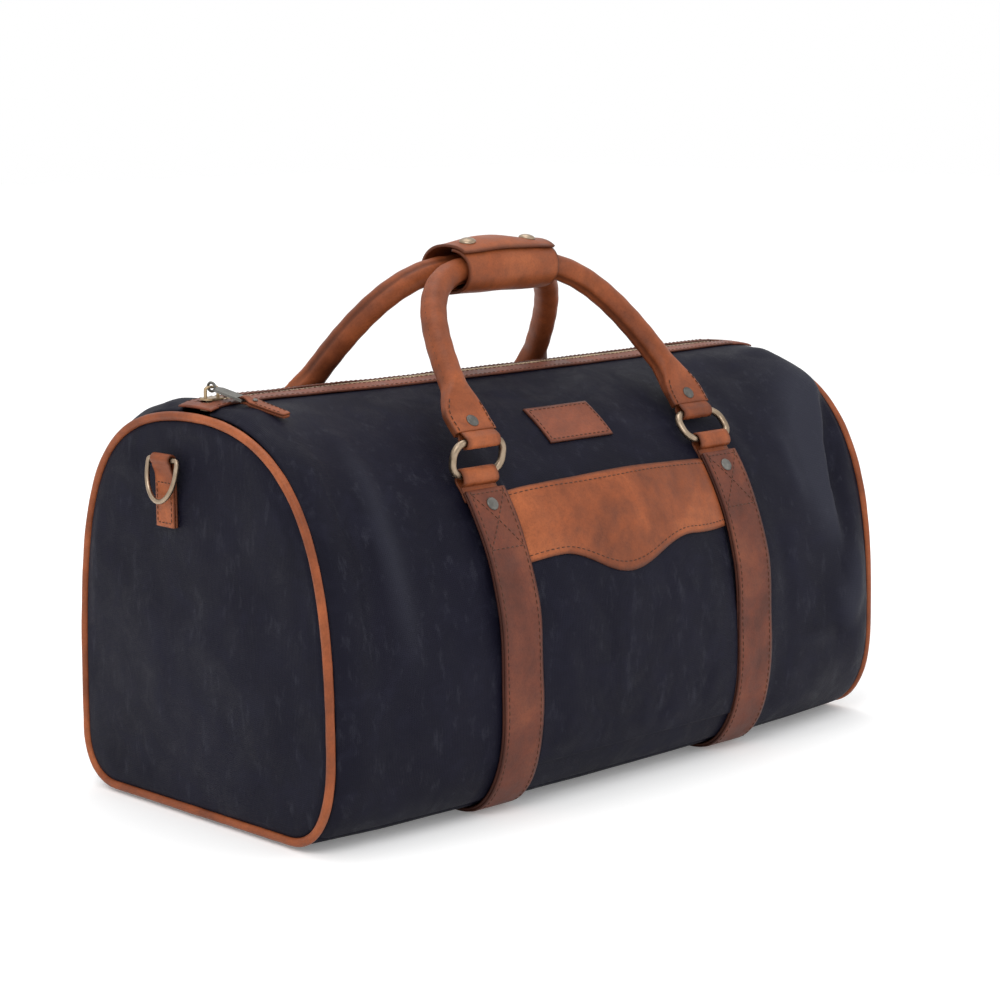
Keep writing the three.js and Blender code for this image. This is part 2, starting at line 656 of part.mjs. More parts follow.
/** The loop below a ring: its tail lies on the canvas, under the strap's end. */
function strapChape(x, side) {
  const { low, down, normal } = ringSeat(RIGHT, side);
  const inner = CLEAR + 0.2;
  const local = (place, offset) => {
    const gap = sectionPoint(STRAP_X, place, side, offset).sub(low);
    return [gap.dot(down), gap.dot(normal)];
  };
  const near = placeAtHeight(STRAP_X, STRAP_TOP + RING_RISE - 4);
  const far = placeAtHeight(STRAP_X, STRAP_TOP + RING_RISE - CHAPE.tail);
  const steps = 5;
  const outerFace = [];
  const innerFace = [];
  for (let k = 0; k <= steps; k++) {
    const place = mix(far, near, k / steps);
    outerFace.push(local(place, inner + CHAPE.leather - 0.2));
    innerFace.push(local(mix(near, far, k / steps), inner));
  }
  return chape(x, low, 0.9, [...innerFace, ...outerFace], [down, normal], CHAPE.width);
}

/** The loop above a ring: its tail goes up between the two layers of the handle's end. */
function handleChape(x, side) {
  const { root, up, normal } = handlePlane(side, x);
  const half = HANDLE_TAIL_HALF;
  const tail = [[7.4, -half], [HANDLE_CHAPE.tail, -half], [HANDLE_CHAPE.tail, half], [7.4, half]];
  return chape(x, root, 0.75, tail, [up, normal], HANDLE_CHAPE.width);
}

const ENDS = [[LEFT, 'left'], [RIGHT, 'right']];
const SIDES = [[FRONT, 'front'], [BACK, 'back']];

for (const [end, endName] of ENDS) {
  addPiece(`strap_${endName}`, strap(end * STRAP_X), leatherLook);
  for (const [side, sideName] of SIDES) {
    const label = `${sideName}_${endName}`;
    const rivetPlace = placeAtHeight(STRAP_X, STRAP_TOP - 10);
    const rivetSeat = sectionPoint(end * STRAP_X, rivetPlace, side, STRAP_OUT + TAIL_OVER + CLEAR);
    const outwards = sectionNormal(end * STRAP_X, rivetPlace, side);
    addPiece(`ring_${label}`, ring(end, side), brassLook);
    addPiece(`strap_chape_${label}`, strapChape(end * STRAP_X, side), leatherLook);
    addPiece(`strap_rivet_${label}`, studGeometry(4.7, 1.6, rivetSeat, outwards), steelLook);
  }
}

// ---------------------------------------------------------------- handles
const HANDLE_END = 7.5; // distance from the ring's wire to the handle's flat end
const FLAT_LENGTH = 11; // a handle's end is flat for this long
const HANDLE_FLARE = 44; // the flat end has become a roll at this distance
const HANDLE_LEAN = 13; // how far a handle's leg leans towards the middle before it bends
const FLAT_HALF_WIDTH = 19.6;
const FLAT_HALF_THICK = 3.6;

/** One handle's centre line in its own plane, as [x, height over the ring's upper wire]. */
function handleLine(length, steps) {
  const grip = 32;
  const leg = new THREE.CubicBezierCurve(
    new THREE.Vector2(HANDLE_X, HANDLE_END + FLAT_LENGTH),
    new THREE.Vector2(HANDLE_X - HANDLE_LEAN, length * 0.53),
    new THREE.Vector2(HANDLE_X - 29, length),
    new THREE.Vector2(grip, length),
  );
  const half = [[HANDLE_X, HANDLE_END], ...leg.getSpacedPoints(steps).map((p) => [p.x, p.y])];
  const mirrored = [...half].reverse().map(([x, h]) => [-x, h]);
  return [...half, ...mirrored];
}

/** Distance of each point of a line from the nearer end of the line. */
function distanceFromEnds(line) {
  const run = [0];
  for (let i = 1; i < line.length; i++) {
    run.push(run[i - 1] + Math.hypot(line[i][0] - line[i - 1][0], line[i][1] - line[i - 1][1]));
  }
  const total = run[run.length - 1];
  return run.map((r) => Math.min(r, total - r));
}

function handlePath(side, steps) {
  const middleLength = handlePlane(side, 0).length;
  const line = handleLine(middleLength, steps);
  const planes = line.map(([x]) => handlePlane(side, x));
  const path = line.map(([x, h], i) => {
    const { root, up, length } = planes[i];
    return root.clone().addScaledVector(up, (h * length) / middleLength).setX(x);
  });
  return { path, normal: planes.map((plane) => plane.normal), fromEnd: distanceFromEnds(line) };
}

/** A rolled leather tube that opens out into a flat, hollow end over each ring. */
function handle(side) {
  const { path, normal, fromEnd } = handlePath(side, 13);
  const roll = (i) => THREE.MathUtils.smoothstep(fromEnd[i], FLAT_LENGTH, HANDLE_FLARE);
  const outer = (i) => {
    const wide = mix(FLAT_HALF_WIDTH, HANDLE_RADIUS, roll(i));
    const thick = mix(FLAT_HALF_THICK, HANDLE_RADIUS, roll(i));
    return ovalSection(wide, thick, 12, mix(4, 2, roll(i)));
  };
  const bore = (i) => {
    const wide = mix(FLAT_HALF_WIDTH - 1.6, CORE_RADIUS + CLEAR, roll(i));
    const thick = mix(HANDLE_TAIL_HALF + 0.6, CORE_RADIUS + CLEAR, roll(i));
    return ovalSection(wide, thick, 12, mix(8, 2, roll(i)));
  };
  const outside = sweepPath(path, normal, outer);
  const inside = sweepPath(path, normal, bore);
  return loftSolid([...outside, ...inside.reverse()], true);
}

/** The cord core that a handle's leather is rolled round. */
function handleCore(side) {
  const { path, normal, fromEnd } = handlePath(side, 13);
  const inRoll = (_, i) => fromEnd[i] > HANDLE_FLARE * 1.05;
  const kept = path.filter(inRoll);
  return loftSolid(sweepPath(kept, normal.filter(inRoll), () => ovalSection(CORE_RADIUS, CORE_RADIUS, 8)));
}

for (const [side, sideName] of SIDES) {
  addPiece(`handle_${sideName}`, handle(side), leatherLook);
  addPiece(`handle_core_${sideName}`, handleCore(side), cordLook);
  for (const [end, endName] of ENDS) {
    const { root, up, normal } = handlePlane(side, end * HANDLE_X);
    const seat = root.clone().setX(end * HANDLE_X);
    seat.addScaledVector(up, HANDLE_END + 8).addScaledVector(normal, FLAT_HALF_THICK + CLEAR);
    addPiece(`handle_chape_${sideName}_${endName}`, handleChape(end * HANDLE_X, side), leatherLook);
    addPiece(`handle_rivet_${sideName}_${endName}`, studGeometry(4.7, 1.6, seat, normal), steelLook);
  }
}

// ---------------------------------------------------------------- handle wrap
/** A piece of the wrap's oval sleeve, between two angles counted from the back over the top. */
function wrapSleeve(fromDegrees, toDegrees, steps, lift) {
  return sheetSolid(steps, 2, (i, j, skin) => {
    const angle = THREE.MathUtils.degToRad(mix(fromDegrees, toDegrees, i / steps));
    const offset = lift(i / steps) - skin * LEATHER;
    const x = mix(-WRAP.halfLength, WRAP.halfLength, j / 2);
    const y = (WRAP.halfWidth + offset) * Math.cos(angle);
    const z = HANDLE_TOP + (WRAP.halfHeight + offset) * Math.sin(angle);
    return new THREE.Vector3(x, y, z);
  });
}

addPiece('handle_wrap', wrapSleeve(105, 268, 11, () => 0), leatherLook);
const flapLift = (share) => WRAP.flapLift * THREE.MathUtils.smoothstep(share, 0.45, 0.8);
addPiece('wrap_flap', wrapSleeve(-90, 135, 16, flapLift), leatherLook);
for (const [end, endName] of ENDS) {
  const snapY = -6;
  const seat = new THREE.Vector3(end * 31, snapY, HANDLE_TOP + WRAP.halfHeight + WRAP.flapLift);
  const outwards = new THREE.Vector3(0, -0.16, 1).normalize();
  addPiece(`wrap_snap_${endName}`, studGeometry(5.6, 1.8, seat, outwards), brassLook);
}

// ---------------------------------------------------------------- front pocket and patch
const POCKET_HALF = STRAP_X - STRAP_WIDTH / 2 - 1;
const POCKET_TOP = 227;
const POCKET_BOTTOM = 1.62; // place of its bottom seam, see sectionPoint
const HEM = 3; // the leather trim stands this far above the pocket's canvas
const POCKET_CANVAS = 1.4;
const POCKET_GAP = 8; // how far the pocket's mouth stands off the bag
const TRIM_SIDE_DROP = 48;
const TRIM_MIDDLE_DROP = 65;
const TRIM_LEATHER = 1.8;
const PATCH = { halfWidth: 33, low: 253, high: 275, leather: 1.6 };

/** The pocket stands off the bag in its middle and comes down to it at its sides and bottom. */
function pocketLift(x, share) {
  const sideways = 1 - Math.abs(x / POCKET_HALF) ** 4;
  return 2 * CLEAR + POCKET_GAP * sideways * THREE.MathUtils.smoothstep(share, 0.45, 0.95);
}

function trimBottom(x) {
  const dip = Math.cos((Math.PI / 2) * Math.min(Math.abs(x) / (POCKET_HALF * 0.72), 1)) ** 2;
  return POCKET_TOP - mix(TRIM_SIDE_DROP, TRIM_MIDDLE_DROP, dip);
}

function pocketPanel() {
  return shell({
    side: FRONT,
    from: -POCKET_HALF,
    to: POCKET_HALF,
    columns: 12,
    rows: 9,
    rangeAt: (x) => [POCKET_BOTTOM, placeAtHeight(x, POCKET_TOP - HEM)],
    offsets: (x, share) => [pocketLift(x, share) + POCKET_CANVAS, pocketLift(x, share)],
  });
}

/** The leather band along the pocket's mouth, lying on the pocket's canvas. */
function pocketTrim() {
  return shell({
    side: FRONT,
    from: -POCKET_HALF,
    to: POCKET_HALF,
    columns: 16,
    rows: 4,
    rangeAt: (x) => [placeAtHeight(x, trimBottom(x)), placeAtHeight(x, POCKET_TOP)],
    offsets: (x, share) => {
      const canvasTop = placeAtHeight(x, POCKET_TOP - HEM);
      const place = mix(placeAtHeight(x, trimBottom(x)), placeAtHeight(x, POCKET_TOP), share);
      const pocketShare = Math.min((place - POCKET_BOTTOM) / (canvasTop - POCKET_BOTTOM), 1);
      const lift = pocketLift(x, pocketShare) + POCKET_CANVAS + CLEAR;
      return [lift + TRIM_LEATHER, lift];
    },
  });
}

function patch() {
  return shell({
    side: FRONT,
    from: -PATCH.halfWidth,
    to: PATCH.halfWidth,
    columns: 4,
    rows: 4,
    rangeAt: (x) => [placeAtHeight(x, PATCH.low), placeAtHeight(x, PATCH.high)],
    offsets: () => [CLEAR + PATCH.leather, CLEAR],
  });
}

addPiece('pocket_panel', pocketPanel(), canvasLook);
addPiece('pocket_trim', pocketTrim(), leatherLook);
addPiece('patch', patch(), trimLook);

// ---------------------------------------------------------------- end tabs and D-rings
const TAB = { y: 19, width: 21, top: 259, length: 48, leather: 2, bore: 2.3, backX: HALF_LENGTH + 3.2 };
const D_RING = { halfWidth: 16.5, height: 30, wire: 1.8, tilt: THREE.MathUtils.degToRad(10) };

function tabHub(end) {
  return new THREE.Vector3(end * (TAB.backX + TAB.bore + TAB.leather), TAB.y, TAB.top);
}

/** A leather tab folded round the D-ring's straight bar, with its tail sewn down the end panel. */
function endTab(end) {
  const rim = TAB.bore + TAB.leather;
  const arc = Array.from({ length: 11 }, (_, k) => {
    const angle = (Math.PI * k) / 10;
    return new THREE.Vector2(rim * Math.cos(angle), rim * Math.sin(angle));
  });
  const tail = [[-rim, -TAB.length], [0.6, -TAB.length], [0.8, -9.5], [rim - 1.1, -4.5]];
  const shape = new THREE.Shape([...arc, ...tail.map(([x, y]) => new THREE.Vector2(x, y))]);
  shape.holes.push(roundHole(TAB.bore));
  const geometry = new THREE.ExtrudeGeometry(shape, { depth: TAB.width, bevelEnabled: false });
  geometry.translate(0, 0, -TAB.width / 2);
  const outwards = new THREE.Vector3(end, 0, 0);
  const up = new THREE.Vector3(0, 0, 1);
  const basis = new THREE.Matrix4().makeBasis(outwards, up, new THREE.Vector3().crossVectors(outwards, up));
  return geometry.applyMatrix4(basis.setPosition(tabHub(end)));
}

/** A D-ring: a straight bar through the tab, and a bow that hangs below it. */
function dRing(end) {
  const hub = tabHub(end);
  const { halfWidth, height } = D_RING;
  const bar = [1 - halfWidth / 2, -5, 5, halfWidth / 2 - 1].map((y) => [y, 0]);
  const loop = [[2 - halfWidth, 0], ...bar, [halfWidth - 2, 0], [halfWidth, -2.5]];
  const steps = 10;
  for (let k = 0; k < steps; k++) {
    const angle = (Math.PI * k) / steps;
    loop.push([halfWidth * Math.cos(angle), -6 - (height - 6) * Math.sin(angle)]);
  }
  loop.push([-halfWidth, -6], [-halfWidth, -2.5]);
  const down = new THREE.Vector3(-end * Math.sin(D_RING.tilt), 0, Math.cos(D_RING.tilt));
  const path = loop.map(([y, z]) => hub.clone().addScaledVector(down, z).setY(hub.y + y));
  const normal = new THREE.Vector3(down.z, 0, -down.x);
  return loftSolid(sweepPath(path, normal, () => ovalSection(D_RING.wire, D_RING.wire, 7), true), true);
}

for (const [end, endName] of ENDS) {
  addPiece(`end_tab_${endName}`, endTab(end), leatherLook);
  addPiece(`d_ring_${endName}`, dRing(end), brassLook);
}

export default bag;
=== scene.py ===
import math

import bmesh
import bpy
import numpy as np
from mathutils import Matrix, Vector
from mathutils import noise as mnoise


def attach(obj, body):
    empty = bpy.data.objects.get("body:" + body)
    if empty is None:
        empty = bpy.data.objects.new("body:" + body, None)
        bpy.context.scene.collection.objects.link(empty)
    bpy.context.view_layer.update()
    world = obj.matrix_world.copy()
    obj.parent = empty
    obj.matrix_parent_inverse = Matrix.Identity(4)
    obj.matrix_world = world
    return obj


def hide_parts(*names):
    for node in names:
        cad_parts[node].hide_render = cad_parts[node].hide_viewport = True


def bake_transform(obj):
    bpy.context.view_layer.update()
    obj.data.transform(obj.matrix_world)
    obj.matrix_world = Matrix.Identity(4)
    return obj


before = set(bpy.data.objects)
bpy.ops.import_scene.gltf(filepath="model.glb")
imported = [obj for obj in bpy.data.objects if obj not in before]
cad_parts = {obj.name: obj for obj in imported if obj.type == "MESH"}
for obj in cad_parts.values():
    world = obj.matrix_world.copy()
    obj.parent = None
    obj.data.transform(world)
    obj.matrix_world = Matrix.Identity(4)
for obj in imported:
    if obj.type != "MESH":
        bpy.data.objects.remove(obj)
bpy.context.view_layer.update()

# ------------------------------------------------------------------ dimensions, in metres
HALF_LENGTH = 0.292
FLOOR_GAP = 0.0028
# half base, half side, side height, rise, crown reach, crown height
END = np.array([0.100, 0.144, 0.068, 0.122, 0.127, 0.292])
SAGGED_END = {
    -1: np.array([0.0985, 0.1457, 0.0734, 0.090, 0.1444, 0.2918]),
    1: np.array([0.102, 0.1405, 0.0439, 0.1737, 0.1247, 0.2918]),
}
MIDDLE = np.array([0.112, 0.160, 0.084, 0.198, 0.004, 0.299])
CORNER_ROUNDNESS = 0.62
SEAM = 1.28
PIPING_RADIUS = 0.0032
PANEL_END = 0.2846
CANVAS = 0.0018
FACING_OUTER = 0.0185
FACING_INNER = 0.0052
MOUTH_LEFT = -0.279
MOUTH_RIGHT = 0.262
ZIP_Z = MIDDLE[5]
STRAP_X = 0.125
STRAP_HALF = 0.019
STRAP_TOP = 0.229
RING_RISE = 0.010
RING = (0.024, 0.012, 0.010, 0.00275)
UPRIGHT_LEAN = math.radians(50)
HANDLE_X = STRAP_X - 0.001
HANDLE_RADIUS = 0.00975
HANDLE_TOP = 0.377
HANDLE_APART = 0.0115
HANDLE_END = 0.0075
FLAT_LENGTH = 0.011
HANDLE_FLARE = 0.044
HANDLE_LEAN = 0.013
FLAT_HALF_WIDTH = 0.0196
FLAT_HALF_THICK = 0.0036
WRAP_HALF = (0.0475, 0.0275, 0.0185)
SLIDER_X = -0.270
POCKET_HALF = STRAP_X - STRAP_HALF - 0.001
POCKET_TOP = 0.227
POCKET_BOTTOM = 1.62
POCKET_GAP = 0.008
TRIM_SIDE_DROP = 0.048
TRIM_MIDDLE_DROP = 0.065
PATCH = (0.033, 0.253, 0.275)
TAB_Y = 0.019
TAB_HUB_X = 0.2995
TAB_HUB_Z = 0.259
TAB_HALF = 0.0105
TAB_LENGTH = 0.048
FRONT, BACK = -1, 1
SIDES = ((FRONT, "front"), (BACK, "back"))
ENDS = ((-1, "left"), (1, "right"))


# ------------------------------------------------------------------ small maths
def smooth(value, low, high):
    t = np.clip((np.asarray(value, float) - low) / (high - low), 0, 1)
    return t * t * (3 - 2 * t)


def lerp(a, b, t):
    return a + (b - a) * t


def unit(vectors):
    vectors = np.asarray(vectors, float)
    return vectors / np.maximum(np.linalg.norm(vectors, axis=-1, keepdims=True), 1e-12)


def run_length(points):
    steps = np.linalg.norm(np.diff(points, axis=0), axis=1)
    return np.concatenate([[0], np.cumsum(steps)])


def resample(points, count, *extra):
    """Evenly spaced points on a polyline, with any arrays that go with them."""
    points = np.asarray(points, float)
    run = run_length(points)
    at = np.linspace(0, run[-1], count)

    def pick(values):
        values = np.asarray(values, float)
        return np.stack([np.interp(at, run, column) for column in values.T], axis=1)

    if not extra:
        return pick(points)
    return [pick(points)] + [pick(values) for values in extra]


def wander(points, scale, seed=0.0):
    """Smooth noise from -1 to 1 at each point of an array of shape (..., 3)."""
    flat = np.asarray(points, float).reshape(-1, 3) * scale + seed
    values = [mnoise.noise(Vector(p)) for p in flat]
    return np.array(values).reshape(np.shape(points)[:-1])


# ------------------------------------------------------------------ the bag's surface
def section_sizes(x, side):
    reach = np.minimum(np.abs(x) / HALF_LENGTH, 1)
    bulge = 1 - reach ** 2.6
    level = 1 - reach ** 24
    sizes = [e + (m - e) * bulge for e, m in zip(END, MIDDLE)]
    sizes[5] = END[5] + (MIDDLE[5] - END[5]) * level
    sag = reach ** 8
    front = SAGGED_END[FRONT] - END
    back = SAGGED_END[BACK] - END
    return [s + sag * np.where(side < 0, f, b) for s, f, b in zip(sizes, front, back)]


def skin(x, place, side, offset=0.0, with_normal=False):
    """Points on the bag's outside.

    place runs 0-1 along the base, 1-2 round the bottom corner and 2-3 up to the crown.
    """
    x, place, side, offset = np.broadcast_arrays(*[np.asarray(v, float) for v in (x, place, side, offset)])
    base, half, low, rise, reach_in, crown = section_sizes(x, side)
    part = np.clip(np.floor(place), 0, 2).astype(int)
    t = place - part
    out = base + (half - base) * CORNER_ROUNDNESS
    up = FLOOR_GAP + (low - FLOOR_GAP) * (1 - CORNER_ROUNDNESS)
    flat = np.full_like(x, FLOOR_GAP)
    none = np.zeros_like(x)
    y_controls = ((none, base / 3, base * 2 / 3, base), (base, out, half, half), (half, half, reach_in, none))
    z_controls = ((flat,) * 4, (flat, flat, up, low), (low, low + rise, crown, crown))
    ys = [np.choose(part, [y_controls[p][k] for p in range(3)]) for k in range(4)]
    zs = [np.choose(part, [z_controls[p][k] for p in range(3)]) for k in range(4)]
    s = 1 - t

    def bezier(c):
        return s ** 3 * c[0] + 3 * s * s * t * c[1] + 3 * s * t * t * c[2] + t ** 3 * c[3]

    def slope(c):
        return 3 * (s * s * (c[1] - c[0]) + 2 * s * t * (c[2] - c[1]) + t * t * (c[3] - c[2]))

    dy, dz = slope(ys), slope(zs)
    size = np.maximum(np.hypot(dy, dz), 1e-9)
    normal = np.stack([none, side * dz / size, -dy / size], axis=-1)
    point = np.stack([x, side * bezier(ys), bezier(zs)], axis=-1) + normal * offset[..., None]
    return (point, normal) if with_normal else point


def place_where(x, side, test):
    """The place on the upper side where a test of the surface point stops being true, for arrays of x."""
    x = np.asarray(x, float)
    low = np.full(np.shape(x), 2.0)
    high = np.full(np.shape(x), 3.0)
    for _ in range(34):
        middle = (low + high) / 2
        yes = test(skin(x, middle, side))
        low = np.where(yes, middle, low)
        high = np.where(yes, high, middle)
    return low


def place_at_height(x, height, side):
    return place_where(x, side, lambda p: p[..., 2] < height)


def place_at_half_width(x, half_width, side):
    return place_where(x, side, lambda p: np.abs(p[..., 1]) > half_width)


def place_down_from(x, height, side, run):
    """The place reached by going down the side from a height by a run along the surface."""
    places = np.linspace(2, 3, 500)
    points = skin(x, places, side)
    lengths = run_length(points)
    start = np.interp(height, points[:, 2], lengths)
    return np.interp(start - run, lengths, places)


# ------------------------------------------------------------------ mesh building
def mesh_object(name, verts, faces, material, body=None, uv=None, attributes=None):
    mesh = bpy.data.meshes.new(name)
    points = np.asarray(verts, float).reshape(-1, 3).tolist()
    mesh.from_pydata(points, [], [list(map(int, face)) for face in faces])
    mesh.validate()
    mesh.polygons.foreach_set("use_smooth", [True] * len(mesh.polygons))
    if uv is not None:
        layer = mesh.uv_layers.new(name="weave")
        index = np.zeros(len(mesh.loops), np.int32)
        mesh.loops.foreach_get("vertex_index", index)
        layer.data.foreach_set("uv", np.asarray(uv, np.float32)[index].ravel())
    for key, values in (attributes or {}).items():
        attribute = mesh.attributes.new(key, "FLOAT", "POINT")
        attribute.data.foreach_set("value", np.asarray(values, np.float32).ravel())
    mesh.materials.append(material)
    obj = bpy.data.objects.new(name, mesh)
    bpy.context.scene.collection.objects.link(obj)
    fix_normals(obj)
    if body:
        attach(obj, body)
    return obj


def fix_normals(obj):
    """Turns the faces of a closed mesh outwards."""
    bm = bmesh.new()
    bm.from_mesh(obj.data)
    bmesh.ops.recalc_face_normals(bm, faces=bm.faces)
    bm.to_mesh(obj.data)
    bm.free()


class Build:
    """Collects closed parts into one mesh."""

    def __init__(self):
        self.verts, self.faces, self.uv, self.edge = [], [], [], []
        self.count = 0

    def add(self, verts, faces, uv=None, edge=None):
        verts = np.asarray(verts, float).reshape(-1, 3)
        self.verts.append(verts)
        self.faces += [[i + self.count for i in face] for face in faces]
        self.uv.append(np.zeros((len(verts), 2)) if uv is None else np.asarray(uv).reshape(-1, 2))
        self.edge.append(np.zeros(len(verts)) if edge is None else np.asarray(edge, float).ravel())
        self.count += len(verts)
        return self

    def make(self, name, material, body=None):
        return mesh_object(
            name, np.concatenate(self.verts), self.faces, material, body,
            uv=np.concatenate(self.uv), attributes={"edge": np.concatenate(self.edge)},
        )


def loft(rings, endless=False):
    """Vertices and faces of a skin through closed rings, with a lid on each open end."""
    rings = np.asarray(rings, float)
    count, size = rings.shape[:2]
    faces = []
    for i in range(count if endless else count - 1):
        a, b = i * size, ((i + 1) % count) * size
        for j in range(size):
            k = (j + 1) % size
            faces.append([a + j, a + k, b + k, b + j])
    if not endless:
        faces.append(list(range(size))[::-1])
        faces.append([(count - 1) * size + j for j in range(size)])
    return rings.reshape(-1, 3), faces


def shell(outer, inner):
    """A closed sheet between two grids of the same shape (rows, columns, 3)."""
    rows, columns = outer.shape[:2]
    verts = np.concatenate([outer.reshape(-1, 3), inner.reshape(-1, 3)])
    half = rows * columns
    faces = []
    for i in range(rows - 1):
        for j in range(columns - 1):
            a = i * columns + j
            quad = [a, a + 1, a + columns + 1, a + columns]
            faces.append(quad)
            faces.append([q + half for q in quad[::-1]])
    rim = [j for j in range(columns)]
    rim += [i * columns + columns - 1 for i in range(1, rows)]
    rim += [(rows - 1) * columns + j for j in range(columns - 2, -1, -1)]
    rim += [i * columns for i in range(rows - 2, 0, -1)]
    for a, b in zip(rim, rim[1:] + rim[:1]):
        faces.append([b, a, a + half, b + half])
    return verts, faces


def path_frames(path, hint, endless=False):
    """Tangent, across and normal at each point, with the normal kept close to a hint direction."""
    path = np.asarray(path, float)
    if endless:
        tangent = unit(np.roll(path, -1, 0) - np.roll(path, 1, 0))
    else:
        tangent = unit(np.gradient(path, axis=0))
    hint = np.broadcast_to(np.asarray(hint, float), path.shape)
    across = unit(np.cross(tangent, hint))
    return tangent, across, np.cross(across, tangent)


def swept(path, hint, section, endless=False):
    """Rings of a section of [across, normal] pairs: one array, or one for each point of the path."""
    _, across, normal = path_frames(path, hint, endless)
    section = np.asarray(section, float)
    if section.ndim == 2:
        section = np.broadcast_to(section, (len(path),) + section.shape)
    return path[:, None] + across[:, None] * section[..., :1] + normal[:, None] * section[..., 1:]


def oval(a, b, sides=16, power=2.0, turn=0.5):
    angle = 2 * np.pi * (np.arange(sides) + turn) / sides
    c, s = np.cos(angle), np.sin(angle)
    across = a * np.sign(c) * np.abs(c) ** (2 / power)
    upwards = b * np.sign(s) * np.abs(s) ** (2 / power)
    return np.stack([across, upwards], axis=-1)


def band_section(half_width, thickness, grooved=False, across_points=9):
    """A flat band's section with rounded edges; grooved edges show its two layers."""
    r = thickness / 2
    flat = np.linspace(-(half_width - r), half_width - r, across_points)
    top = [[a, thickness] for a in flat]
    bottom = [[a, 0] for a in flat[::-1]]
    angles = np.radians([60, 30, 0, -30, -60])
    edge = [[half_width - r + r * math.cos(a), r + r * math.sin(a)] for a in angles]
    if grooved:
        profile = [(0.1, 0.93), (0.0, 0.76), (0.05, 0.58), (0.5, 0.5), (0.05, 0.42), (0.0, 0.24), (0.1, 0.07)]
        edge = [[half_width - depth * r, thickness * level] for depth, level in profile]
    other = [[-a, n] for a, n in edge[::-1]]
    return np.array(top + edge + bottom + other)


def band(path, hint, half_width, thickness, grooved=False, lift=0.0):
    """A leather band laid along a path, as rings of its section; half_width and lift may vary along it."""
    count = len(path)
    half_width = np.broadcast_to(half_width, (count,))
    thickness = np.broadcast_to(thickness, (count,))
    lift = np.broadcast_to(lift, (count,))
    sections = np.stack([band_section(w, t, grooved) for w, t in zip(half_width, thickness)])
    sections[..., 1] += lift[:, None]
    rings = swept(path, hint, sections)
    edge = smooth(np.abs(sections[..., 0]) / half_width[:, None], 0.86, 1.0)
    run = run_length(path)
    uv = np.stack([sections[..., 0], np.broadcast_to(run[:, None], edge.shape)], axis=-1)
    return rings, uv, edge


def add_band(build, *args, **kwargs):
    rings, uv, edge = band(*args, **kwargs)
    verts, faces = loft(rings)
    return build.add(verts, faces, uv, edge)


def stitch_row(build, points, normals, length=0.0031, gap=0.0013, radius=0.00032, sink=0.35):
    """Short rounded threads along a line, each dipping into the material at its ends."""
    points = np.asarray(points, float)
    total = run_length(points)[-1]
    count = max(int(round(total / (length + gap))), 1)
    fine, fine_normals = resample(points, max(count * 8, 16), normals)
    run = run_length(fine)
    for k in range(count):
        start = (k + 0.5) * total / count - length / 2
        at = start + length * np.array([0.0, 0.12, 0.5, 0.88, 1.0])
        middle = np.stack([np.interp(at, run, fine[:, c]) for c in range(3)], axis=1)
        normal = unit(np.stack([np.interp(at, run, fine_normals[:, c]) for c in range(3)], axis=1))
        rise = radius * np.array([-1.4, 0.15, 1 - sink, 0.15, -1.4])
        size = radius * np.array([0.55, 0.9, 1.1, 0.9, 0.55])
        rings = swept(middle + normal * rise[:, None], normal, oval(1, 1, 6)[None] * size[:, None, None])
        build.add(*loft(rings))


def lathe(build, profile, point, direction, sides=28):
    """Turns a [radius, height] profile about a direction from a point."""
    direction = Vector(direction).normalized()
    turn = direction.to_track_quat("Z", "Y").to_matrix()
    rings = []
    for r, h in profile:
        angle = 2 * np.pi * np.arange(sides) / sides
        ring = np.stack([r * np.cos(angle), r * np.sin(angle), np.full(sides, h)], axis=-1)
        rings.append(ring @ np.array(turn).T + np.asarray(point))
    return build.add(*loft(rings))


# ------------------------------------------------------------------ materials
def new_material(name, roughness, metallic=0.0, specular=0.5, **inputs):
    material = bpy.data.materials.new(name)
    material.use_nodes = True
    nodes = material.node_tree.nodes
    shader = nodes["Principled BSDF"]
    shader.inputs["Roughness"].default_value = roughness
    shader.inputs["Metallic"].default_value = metallic
    shader.inputs["Specular IOR Level"].default_value = specular
    for key, value in inputs.items():
        shader.inputs[key.replace("_", " ")].default_value = value
    return material, nodes, material.node_tree.links, shader


def node(nodes, kind, **values):
    made = nodes.new(kind)
    for key, value in values.items():
        if hasattr(made, key):
            setattr(made, key, value)
        else:
            made.inputs[key.replace("_", " ")].default_value = value
    return made


def noise(nodes, links, scale, detail=3.0, roughness=0.5, stretch=None, coords="Object", distortion=0.0):
    """A noise texture in object space, or in the piece's own flat coordinates."""
    where = nodes.new("ShaderNodeTexCoord")
    made = node(nodes, "ShaderNodeTexNoise", Scale=scale, Detail=detail, Roughness=roughness)
    made.inputs["Distortion"].default_value = distortion
    source = where.outputs[coords]
    if stretch:
        mapping = nodes.new("ShaderNodeMapping")
        mapping.inputs["Scale"].default_value = stretch
        links.new(source, mapping.inputs["Vector"])
        source = mapping.outputs["Vector"]
    links.new(source, made.inputs["Vector"])
    return made.outputs["Fac"]


def ramp(nodes, links, source, stops):
    made = nodes.new("ShaderNodeValToRGB")
    elements = made.color_ramp.elements
    for _ in range(len(stops) - 2):
        elements.new(0.5)
    for element, (at, color) in zip(elements, stops):
        element.position = at
        element.color = (*color, 1) if len(color) == 3 else color
    links.new(source, made.inputs["Fac"])
    return made.outputs["Color"]


def grey(value):
    return (value, value, value)


def blend_colors(nodes, links, a, b, factor, mode="MIX"):
    made = nodes.new("ShaderNodeMix")
    made.data_type = "RGBA"
    made.blend_type = mode
    for value, key in ((factor, 0), (a, 6), (b, 7)):
        if hasattr(value, "is_linked"):
            links.new(value, made.inputs[key])
        else:
            made.inputs[key].default_value = value if key == 0 else (*value, 1)
    return made.outputs[2]


def attribute(nodes, name):
    return node(nodes, "ShaderNodeAttribute", attribute_name=name).outputs["Fac"]


